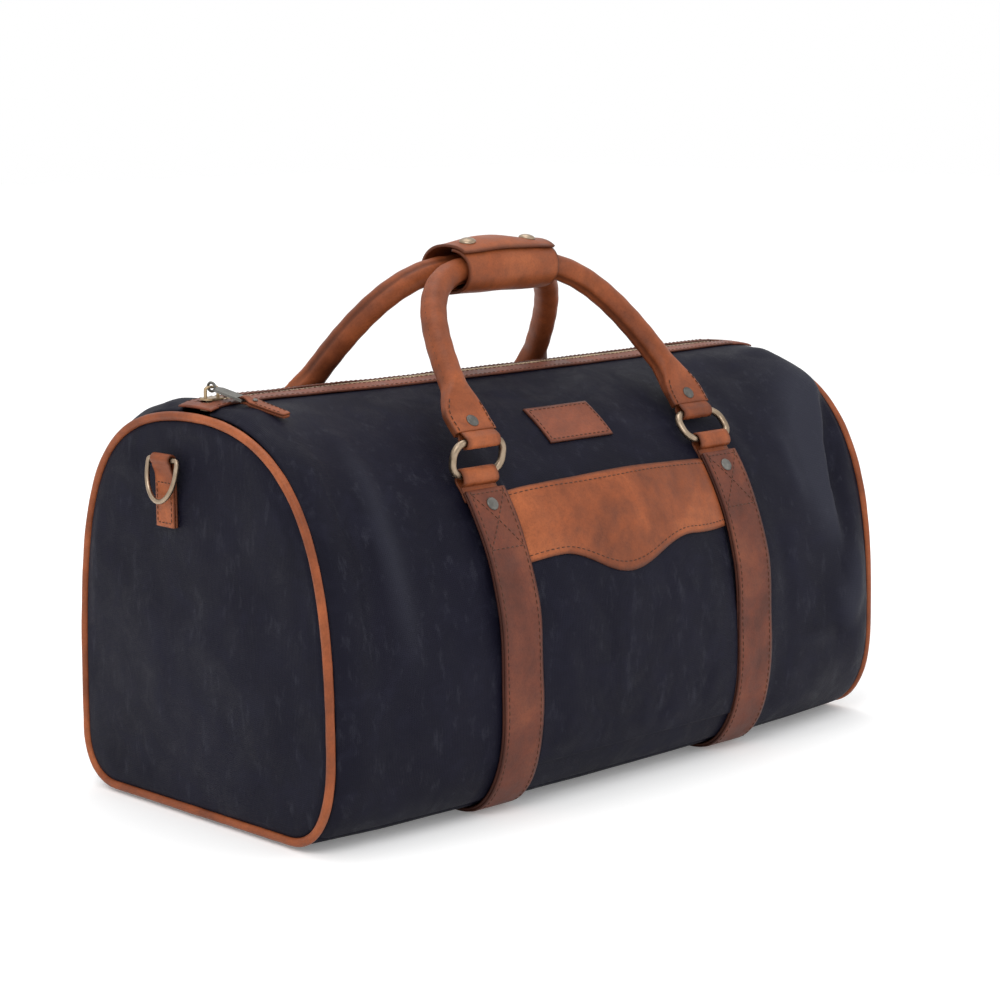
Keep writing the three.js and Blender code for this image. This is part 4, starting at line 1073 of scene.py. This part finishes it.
def make_ring(end, side, label):
    x = end * STRAP_X
    low, _, up, facing, _, _ = ring_seat(end, side)
    half_width, half_height, corner, wire = RING
    middle = np.array([x, low[1], low[2]]) + up * half_height
    loop = []
    for quarter, (sx, sz) in enumerate(((1, 1), (-1, 1), (-1, -1), (1, -1))):
        for k in range(9):
            angle = np.pi / 2 * (quarter + k / 8)
            a = sx * (half_width - corner) + corner * math.cos(angle)
            b = sz * (half_height - corner) + corner * math.sin(angle)
            loop.append([a, b])
    loop = np.array(loop)
    path = middle + loop[:, :1] * np.array([1, 0, 0]) + loop[:, 1:] * up
    path = resample(np.concatenate([path, path[:1]]), 73)[:-1]
    verts, faces = loft(swept(path, facing, oval(wire, wire, 14), True), True)
    obj = Build().add(verts, faces).make(f"wire_ring_{label}", RING_LOOK, f"rings_{label.split('_')[0]}")
    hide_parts(f"ring_{label}")


LOOP_PLY = 0.0018


def bent_line(points, count):
    """A smooth line through a few points, by repeated corner cutting."""
    points = np.asarray(points, float)
    for _ in range(3):
        a = points[:-1] * 0.75 + points[1:] * 0.25
        b = points[:-1] * 0.25 + points[1:] * 0.75
        cut = np.empty((2 * len(a), points.shape[1]))
        cut[0::2], cut[1::2] = a, b
        points = np.concatenate([points[:1], cut, points[-1:]])
    return resample(points, count)


def loop_band(line, origin, along, off, x, half_width, name, body, look, ply=LOOP_PLY):
    """A leather loop: a band that follows a line of [along, off] pairs in a plane across X."""
    path = origin * np.array([0, 1, 1]) + line[:, :1] * along + line[:, 1:] * off
    path[:, 0] += x
    tangent = unit(np.gradient(path, axis=0))
    hint = np.cross(np.array([1.0, 0, 0]), tangent)
    build = Build()
    wide = half_width + 0.0002 * np.sin(np.arange(len(path)) * 0.5)
    add_band(build, path, hint, wide, ply, lift=-ply / 2)
    return build.make(name, look, body)


def make_strap_loop(x, side, label):
    low, _, _, _, normal, down = ring_seat(1, side)

    def on_canvas(run, offset):
        place = place_down_from(STRAP_X, float(low[2]), side, run)
        gap = skin(STRAP_X, place, side, offset) - low
        return [float(gap @ down), float(gap @ normal)]

    r = 0.0042
    arc = [[r * math.cos(a), r * math.sin(a)] for a in np.radians(np.linspace(-100, -262, 13))]
    line = [on_canvas(run, 0.0012) for run in (0.024, 0.018, 0.012, 0.007)]
    line += arc
    line += [[0.0042, 0.0036], [0.0078, 0.0012]]
    line += [on_canvas(run, 0.0031) for run in (0.0125, 0.017, 0.024)]
    line = bent_line(line, 60)
    obj = loop_band(line, low, down, normal, x, 0.017, f"strap_loop_{label}", "bag", LEATHER_LOOK)
    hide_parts(f"strap_chape_{label}")


def make_handle_loop(x, side, label):
    root, up, normal, _ = handle_plane(side, x)
    r = 0.0042
    arc = [[r * math.cos(a), r * math.sin(a)] for a in np.radians(np.linspace(-62, -298, 17))]
    line = [[0.017, -0.0010], [0.012, -0.0010], [0.0085, -0.0014], [0.0050, -0.0030]] + arc
    line += [[0.0050, 0.0030], [0.0085, 0.0014], [0.012, 0.0010], [0.017, 0.0010]]
    obj = loop_band(bent_line(line, 60), root, up, normal, x, 0.0160, f"handle_loop_{label}",
                    f"{label.split('_')[0]}_handle", LEATHER_LOOK)
    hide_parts(f"handle_chape_{label}")


RIVET_CAP = [
    (0.0049, -0.0012), (0.0050, 0.0), (0.0049, 0.0006), (0.0044, 0.0011), (0.0039, 0.0012),
    (0.0034, 0.00125), (0.0028, 0.0016), (0.0018, 0.0020), (0.0008, 0.00215), (0.0001, 0.0022),
]


def make_rivet(point, normal, name, node_name, body):
    build = Build()
    lathe(build, RIVET_CAP, point, normal)
    obj = build.make(name, STEEL_LOOK, body)
    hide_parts(node_name)


for end, end_name in ENDS:
    make_strap(end, end_name)
    for side, side_name in SIDES:
        label = f"{side_name}_{end_name}"
        make_ring(end, side, label)
        make_strap_loop(end * STRAP_X, side, label)
        place = float(place_at_height(STRAP_X, STRAP_TOP - 0.010, side))
        rise = 0.0004 + TAIL_OVER + 2 * STRAP_PLY
        seat, outwards = skin(end * STRAP_X, place, side, rise, with_normal=True)
        make_rivet(seat, outwards, f"strap_cap_{label}", f"strap_rivet_{label}", "bag")


# ------------------------------------------------------------------ handles
def handle_line(length, count):
    """One handle's centre line in its own plane, as [x, height over the ring's upper wire]."""
    p = np.array([
        [HANDLE_X, HANDLE_END + FLAT_LENGTH],
        [HANDLE_X - HANDLE_LEAN, length * 0.53],
        [HANDLE_X - 0.029, length],
        [0.032, length],
    ])
    t = np.linspace(0, 1, 120)[:, None]
    leg = (1 - t) ** 3 * p[0] + 3 * (1 - t) ** 2 * t * p[1] + 3 * (1 - t) * t * t * p[2] + t ** 3 * p[3]
    half = np.concatenate([[[HANDLE_X, HANDLE_END]], leg])
    whole = np.concatenate([half, half[::-1] * np.array([-1, 1])])
    return resample(whole, count)


def make_handle(side, name):
    middle_length = handle_plane(side, 0.0)[3]
    line = handle_line(middle_length, 190)
    planes = [handle_plane(side, x) for x in line[:, 0]]
    stretch = line[:, 1] / middle_length
    path = np.array([root + up * (share * length) for share, (root, up, _, length) in zip(stretch, planes)])
    path[:, 0] = line[:, 0]
    tangent_hint = np.array([normal for _, _, normal, _ in planes])
    run = run_length(line)
    from_end = np.minimum(run, run[-1] - run)
    roll = smooth(from_end, FLAT_LENGTH, HANDLE_FLARE)
    sides = 36
    angle = 2 * np.pi * (np.arange(sides) + 0.5) / sides
    sections, edges = [], []
    for i, r in enumerate(roll):
        wide = lerp(FLAT_HALF_WIDTH, HANDLE_RADIUS, r)
        thick = lerp(FLAT_HALF_THICK, HANDLE_RADIUS, r)
        section = oval(wide, thick, sides, lerp(5.5, 2.0, r))
        from_seam = np.abs(angle % (2 * np.pi) - np.pi)
        groove = np.exp(-((from_seam / 0.10) ** 2)) * 0.16 * r
        section = section * (1 - groove)[:, None]
        wrinkle = 1 + 0.012 * math.sin(i * 0.9) * r
        sections.append(section * wrinkle)
        edges.append(np.exp(-((from_seam / 0.16) ** 2)) * r)
    sections = np.array(sections)
    outside = swept(path, tangent_hint, sections)
    squeeze = np.array([0.92, 0.42])
    inner_first = swept(path[:8], tangent_hint[:8], sections[:8] * squeeze)[[0, 3, 6]]
    inner_last = swept(path[-8:], tangent_hint[-8:], sections[-8:] * squeeze)[[7, 4, 1]]
    rings = np.concatenate([inner_first[::-1], outside, inner_last])
    edge = np.concatenate([np.ones((3, sides)), np.array(edges), np.ones((3, sides))])
    end_edge = smooth(np.abs(sections[..., 0]) / FLAT_HALF_WIDTH, 0.9, 1.0) * (1 - roll)[:, None]
    edge[3:-3] = np.maximum(edge[3:-3], end_edge)
    verts, faces = loft(rings)
    build = Build().add(verts, faces, None, edge)
    obj = build.make(f"rolled_handle_{name}", LEATHER_LOOK, f"{name}_handle")
    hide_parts(f"handle_{name}")

    stitches = Build()
    _, across, normals = path_frames(path, tangent_hint)
    inside = (from_end > HANDLE_FLARE * 0.7) & (np.abs(path[:, 0]) > WRAP_HALF[0])
    groove_side = path + across * (sections[:, 1, 0] * 0.93)[:, None] + normals * (HANDLE_RADIUS * 0.33)
    for part in (inside & (path[:, 0] > 0), inside & (path[:, 0] < 0)):
        outwards = across[part] * 0.9 + normals[part] * 0.35
        stitch_row(stitches, groove_side[part], outwards, length=0.0040, gap=0.0018)
    for first in (True, False):
        chosen = np.where((from_end < HANDLE_FLARE * 0.62) & ((np.arange(len(path)) < 95) == first))[0]
        for sign in (-1, 1):
            width = np.max(sections[chosen][..., 0], axis=1) - 0.0030
            face = lerp(FLAT_HALF_THICK, HANDLE_RADIUS, roll[chosen]) * (1 - 0.28 * roll[chosen])
            row = path[chosen] + across[chosen] * (sign * width)[:, None] + normals[chosen] * face[:, None]
            stitch_row(stitches, row, normals[chosen], length=0.0034)
    thread = stitches.make(f"handle_stitches_{name}", THREAD_LOOK, f"{name}_handle")

    for end, end_name in ENDS:
        label = f"{name}_{end_name}"
        root, up, normal, _ = handle_plane(side, end * HANDLE_X)
        seat = root + up * (HANDLE_END + 0.008) + normal * (FLAT_HALF_THICK - 0.0001)
        seat[0] = end * HANDLE_X
        make_rivet(seat, normal, f"handle_cap_{label}", f"handle_rivet_{label}", f"{name}_handle")
        make_handle_loop(end * HANDLE_X, side, label)


for side, name in SIDES:
    make_handle(side, name)


# ------------------------------------------------------------------ handle wrap
def wrap_grid(from_degrees, to_degrees, rows, lift, columns=60):
    half_length, half_width, half_height = WRAP_HALF
    angle = np.radians(np.linspace(from_degrees, to_degrees, rows))[:, None].repeat(columns, 1)
    x = np.linspace(-half_length, half_length, columns)[None].repeat(rows, 0)
    share = np.linspace(0, 1, rows)[:, None]
    c, s = np.cos(angle), np.sin(angle)
    hump = 0.0025 * np.clip(s, 0, 1) * (np.cos(np.pi * x / half_length / 2) ** 2 * 1.6 - 0.6)
    power = 2 / 2.35
    base_y = np.sign(c) * np.abs(c) ** power
    base_z = np.sign(s) * np.abs(s) ** power
    offset = lift(share) + hump
    spot = np.stack([x, base_y * half_width, base_z * half_height], axis=-1)
    soft = wander(spot, 32, 7.0) * 0.0012

    def at(extra):
        grow = offset + soft + extra
        y = base_y * (half_width + grow)
        return np.stack([x, y, HANDLE_TOP + base_z * (half_height + grow)], axis=-1)

    return at(0.0), at(-0.0021)


def make_wrap_piece(name, node_name, degrees, rows, lift, body):
    outer, inner = wrap_grid(*degrees, rows, lift)
    verts, faces = shell(outer, inner)
    row_edge = smooth(np.minimum(np.arange(rows), np.arange(rows)[::-1]) / rows, 0.05, 0.0) * 0.9
    column_edge = smooth(np.minimum(np.arange(60), np.arange(60)[::-1]) / 60, 0.03, 0.0) * 0.9
    edge = np.maximum(row_edge[:, None], column_edge[None]).ravel()
    obj = Build().add(verts, faces, None, np.concatenate([edge, edge])).make(name, LEATHER_LOOK, body)
    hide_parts(node_name)
    return outer


def grid_normals(grid):
    normal = unit(np.cross(np.gradient(grid, axis=0), np.gradient(grid, axis=1)))
    centre = np.array([0, 0, HANDLE_TOP])
    flip = np.sign(np.sum(normal * ((grid - centre) * np.array([0, 1, 1])), axis=-1, keepdims=True))
    return normal * np.where(flip == 0, 1, flip)


def frame_stitches(build, grid, normals, inset):
    """A row of stitches round a grid's edge, a number of cells in."""
    r, c = inset
    top = [(r, j) for j in range(c, grid.shape[1] - c)]
    right = [(i, grid.shape[1] - 1 - c) for i in range(r, grid.shape[0] - r)]
    bottom = [(grid.shape[0] - 1 - r, j) for j in range(grid.shape[1] - 1 - c, c - 1, -1)]
    left = [(i, c) for i in range(grid.shape[0] - 1 - r, r - 1, -1)]
    for part in (top, right, bottom, left):
        rows, columns = np.array(part).T
        stitch_row(build, grid[rows, columns], normals[rows, columns], length=0.0032)


def sleeve_lift(share):
    return 0 * share


def flap_lift(share):
    """The flap rises where it passes over the sleeve."""
    return 0.0028 * smooth(share, 0.45, 0.8)


make_wrap_piece("wrap_sleeve", "handle_wrap", (105, 268), 60, sleeve_lift, "front_handle")
flap = make_wrap_piece("wrap_cover", "wrap_flap", (-90, 138), 84, flap_lift, "flap")

SNAP_CAP = [
    (0.0062, -0.0015), (0.0064, 0.0), (0.0063, 0.0007), (0.0056, 0.0014),
    (0.0044, 0.0021), (0.0028, 0.0026), (0.0012, 0.0028), (0.0001, 0.00285),
]
SNAP_X = 0.031
SNAP_ROW = 70  # of the flap's grid
for end, name in ENDS:
    snap = Build()
    column = int(np.argmin(np.abs(flap[SNAP_ROW, :, 0] - end * SNAP_X)))
    seat = flap[SNAP_ROW, column] + np.array([0, 0, 0.0002])
    lathe(snap, SNAP_CAP, seat, grid_normals(flap)[SNAP_ROW, column])
    snap_object = snap.make(f"snap_cap_{name}", RING_LOOK, "flap")
    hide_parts(f"wrap_snap_{name}")


# ------------------------------------------------------------------ front pocket and patch
def pocket_lift(x, share):
    sideways = 1 - np.abs(x / POCKET_HALF) ** 4
    return 0.0008 + POCKET_GAP * sideways * smooth(share, 0.45, 0.95)


def trim_bottom(x):
    dip = np.cos(np.pi / 2 * np.minimum(np.abs(x + 0.006) / (POCKET_HALF * 0.66), 1)) ** 2
    return POCKET_TOP - lerp(TRIM_SIDE_DROP, TRIM_MIDDLE_DROP, dip) + 0.0015 * np.sin(x * 60)


def make_pocket():
    columns, rows = 110, 70
    x = np.linspace(-POCKET_HALF, POCKET_HALF, columns)[None].repeat(rows, 0)
    top = place_at_height(x[0], POCKET_TOP - 0.003, FRONT)
    share = np.linspace(0, 1, rows)[:, None]
    places = POCKET_BOTTOM + (top[None] - POCKET_BOTTOM) * share
    plain = skin(x, places, FRONT)
    beside = smooth(POCKET_HALF - np.abs(x), 0.002, 0.03)
    edge_free = beside * smooth(share, 0.02, 0.2) * (1 - smooth(share, 0.72, 0.85))
    soft = (np.abs(wander(plain, 22, 11.0)) * 0.0034 + np.abs(wander(plain, 55, 1.0)) * 0.0010) * edge_free
    lift = pocket_lift(x, share) + soft
    outer = skin(x, places, FRONT, lift + 0.0014)
    inner = skin(x, places, FRONT, lift)
    verts, faces = shell(outer, inner)
    uv = grid_uv(outer).reshape(-1, 2)
    obj = Build().add(verts, faces, np.concatenate([uv, uv])).make("pocket_cloth", CANVAS_LOOK, "bag")
    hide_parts("pocket_panel")

    columns, rows = 130, 26
    x = np.linspace(-POCKET_HALF, POCKET_HALF, columns)[None].repeat(rows, 0)
    first = place_at_height(x[0], trim_bottom(x[0]), FRONT)
    last = place_at_height(x[0], POCKET_TOP, FRONT)
    share = np.linspace(0, 1, rows)[:, None]
    places = first[None] + (last - first)[None] * share
    pocket_share = np.minimum((places - POCKET_BOTTOM) / (top_place(x) - POCKET_BOTTOM), 1)
    beside = smooth(POCKET_HALF - np.abs(x), 0, 0.03)
    waves = 0.0016 * np.sin(x * 46 + 1.2) * smooth(share, 0.0, 0.5) * beside
    lift = pocket_lift(x, pocket_share) + 0.0018 + np.maximum(waves, -0.0012)
    rounding = 0.0005 * (smooth(share, 0.05, 0.0) + smooth(share, 0.95, 1.0))
    outer, normals = skin(x, places, FRONT, lift + 0.0020 - rounding, with_normal=True)
    inner = skin(x, places, FRONT, lift + 0.0001)
    verts, faces = shell(outer, inner)
    edge = np.maximum(smooth(share, 0.05, 0.0), smooth(share, 0.96, 1.0)).repeat(columns, 1).ravel()
    build = Build().add(verts, faces, None, np.concatenate([edge, edge]))
    trim = build.make("pocket_band", LEATHER_LOOK, "bag")
    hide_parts("pocket_trim")
    stitches = Build()
    for row in (2, rows - 3):
        stitch_row(stitches, outer[row], normals[row], length=0.0034)
    stitches.make("pocket_stitches", THREAD_LOOK, "bag")


def top_place(x):
    return place_at_height(x[0], POCKET_TOP - 0.003, FRONT)[None]


def make_patch():
    half, low, high = PATCH
    columns, rows = 50, 26
    x = np.linspace(-half, half, columns)[None].repeat(rows, 0)
    z = np.linspace(low, high, rows)[:, None].repeat(columns, 1)
    places = place_where(x, FRONT, lambda p: p[..., 2] < z)
    rim = np.minimum(half - np.abs(x), np.minimum(z - low, high - z))
    rounding = 0.0005 * (1 - smooth(rim, 0, 0.0012))
    outer, normals = skin(x, places, FRONT, 0.0022 - rounding, with_normal=True)
    inner = skin(x, places, FRONT, 0.0002)
    verts, faces = shell(outer, inner)
    edge = (1 - smooth(rim, 0, 0.0015)).ravel()
    build = Build().add(verts, faces, None, np.concatenate([edge, edge]))
    obj = build.make("leather_patch", TRIM_LOOK, "bag")
    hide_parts("patch")
    stitches = Build()
    frame_stitches(stitches, outer, normals, (2, 2))
    stitches.make("patch_stitches", THREAD_LOOK, "bag")


make_pocket()
make_patch()


# ------------------------------------------------------------------ end tabs and D-rings
def make_end_tab(end, name):
    hub = np.array([end * TAB_HUB_X, TAB_Y, TAB_HUB_Z])
    r = 0.0032
    arc = [[r * math.cos(a), r * math.sin(a)] for a in np.radians(np.linspace(180, -60, 19))]
    under = [[-r, -TAB_LENGTH], [-r, -0.03], [-r, -0.012]]
    over = [[0.0012, -0.0055], [-0.0008, -0.0095], [-0.0012, -0.014], [-0.0012, -0.03], [-0.0012, -TAB_LENGTH]]
    line = under + arc + over
    line = bent_line(line, 90)
    path = hub + line[:, :1] * np.array([end, 0, 0]) + line[:, 1:] * np.array([0, 0, 1])
    tangent = unit(np.gradient(path, axis=0))
    hint = np.cross(np.array([0, 1.0, 0]), tangent)
    build = Build()
    add_band(build, path, hint, TAB_HALF, 0.0019, lift=-0.00095)
    obj = build.make(f"tab_loop_{name}", LEATHER_LOOK, "bag")
    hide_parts(f"end_tab_{name}")
    stitches = Build()
    out = np.array([end, 0, 0.0])
    x = hub[0] + end * (-0.0012 + 0.00095)
    w = TAB_HALF - 0.0026
    first, last = -0.0165, -0.045
    top_left, top_right, low_left, low_right = (-w, first), (w, first), (-w, last), (w, last)
    for pair in ((top_left, top_right), (top_left, low_left), (top_right, low_right), (low_left, low_right)):
        points = np.array([[x, TAB_Y + y, TAB_HUB_Z + z] for y, z in pair])
        stitch_row(stitches, resample(points, 20), np.tile(out, (20, 1)), length=0.0030)
    stitches.make(f"tab_stitches_{name}", THREAD_LOOK, "bag")


def make_d_ring(end, name):
    half_width, height, wire, tilt = 0.0165, 0.030, 0.0018, math.radians(10)
    loop = [[y, 0.0] for y in np.linspace(-half_width + 0.002, half_width - 0.002, 14)]
    loop += [[half_width - 0.0006, -0.0006], [half_width, -0.0025]]
    for angle in np.linspace(0, np.pi, 34):
        loop.append([half_width * math.cos(angle), -0.006 - (height - 0.006) * math.sin(angle)])
    loop += [[-half_width, -0.0025], [-half_width + 0.0006, -0.0006]]
    loop = np.array(loop)
    up = np.array([-end * math.sin(tilt), 0, math.cos(tilt)])
    hub = np.array([end * TAB_HUB_X, TAB_Y, TAB_HUB_Z])
    path = hub + loop[:, :1] * np.array([0, 1, 0]) + loop[:, 1:] * up
    path = resample(np.concatenate([path, path[:1]]), 81)[:-1]
    verts, faces = loft(swept(path, (up[2], 0, -up[0]), oval(wire, wire, 12), True), True)
    obj = Build().add(verts, faces).make(f"wire_d_{name}", RING_LOOK, f"d_{name}")
    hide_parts(f"d_ring_{name}")


for end, name in ENDS:
    make_end_tab(end, name)
    make_d_ring(end, name)


# ------------------------------------------------------------------ zip pull
PULL_LENGTH = 0.066
PULL_PIVOT = np.array([SLIDER_X, 0.0, 0.3086])
PULL_HEADING = unit(np.array([0.28, -0.96, 0.0])) * PULL_LENGTH * 0.93
FOLD_X = 0.0292  # the leather folds round the bar's end here, measured along the pull
FOLD_RADIUS = 0.0022
TAB_PLY = 0.0017


def make_pull_tab():
    """A leather strip through the bar's slot, folded over and sewn to itself, wide below the fold."""
    tip_x = PULL_PIVOT[0] + PULL_HEADING[0]
    place = float(place_at_half_width(tip_x, abs(PULL_HEADING[1]), FRONT))
    along = unit(skin(tip_x, place, FRONT, 0.008) - PULL_PIVOT)
    flat = unit(np.array([1.0, 0, 0]) - along * along[0])
    face = unit(np.cross(flat, along))
    face = face if face[2] > 0 else -face
    across = np.cross(face, along)
    turn = np.radians(np.linspace(90, 270, 13))
    arc = [[FOLD_X + FOLD_RADIUS * math.cos(a), FOLD_RADIUS * math.sin(a)] for a in turn]
    upper = [[PULL_LENGTH - 0.0004, 0.00088], [0.050, 0.00088], [0.037, 0.00090], [0.0335, 0.0013]]
    lower = [[run, -off] for run, off in reversed(upper)]
    line = bent_line(upper + arc + lower, 130)
    path = PULL_PIVOT + line[:, :1] * along + line[:, 1:] * face
    tangent = unit(np.gradient(path, axis=0))
    hint = np.cross(across, tangent)
    hint = hint * np.sign(np.sum(hint[:1] * face, axis=-1))[:, None]
    wide = np.interp(line[:, 0], [0.0315, 0.0330, 0.0370, PULL_LENGTH - 0.003, PULL_LENGTH],
                     [0.0031, 0.0036, 0.0059, 0.0048, 0.0036])
    build = Build()
    add_band(build, path, hint, wide, TAB_PLY, lift=-TAB_PLY / 2)
    tab = build.make("pull_leather", LEATHER_LOOK, "pull")
    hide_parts("zip_pull_tab")
    sewn = Build()
    runs = np.linspace(0.0405, PULL_LENGTH - 0.0035, 12)
    inset = np.interp(runs, [0.0370, PULL_LENGTH], [0.0059, 0.0046]) - 0.0014
    for sign in (-1, 1):
        row = PULL_PIVOT + runs[:, None] * along + (inset * sign)[:, None] * across
        row = row + face * (0.00088 + TAB_PLY / 2)
        stitch_row(sewn, row, np.tile(face, (len(row), 1)), length=0.0026)
    sewn.make("pull_stitches", THREAD_LOOK, "pull")


make_pull_tab()

KEPT_ON_ZIP = (("zip_slider", BRASS_LOOK), ("zip_pull_bar", STEEL_LOOK), ("zip_pull_rivet", STEEL_LOOK))
for name, look in KEPT_ON_ZIP:
    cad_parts[name].data.materials.clear()
    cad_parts[name].data.materials.append(look)
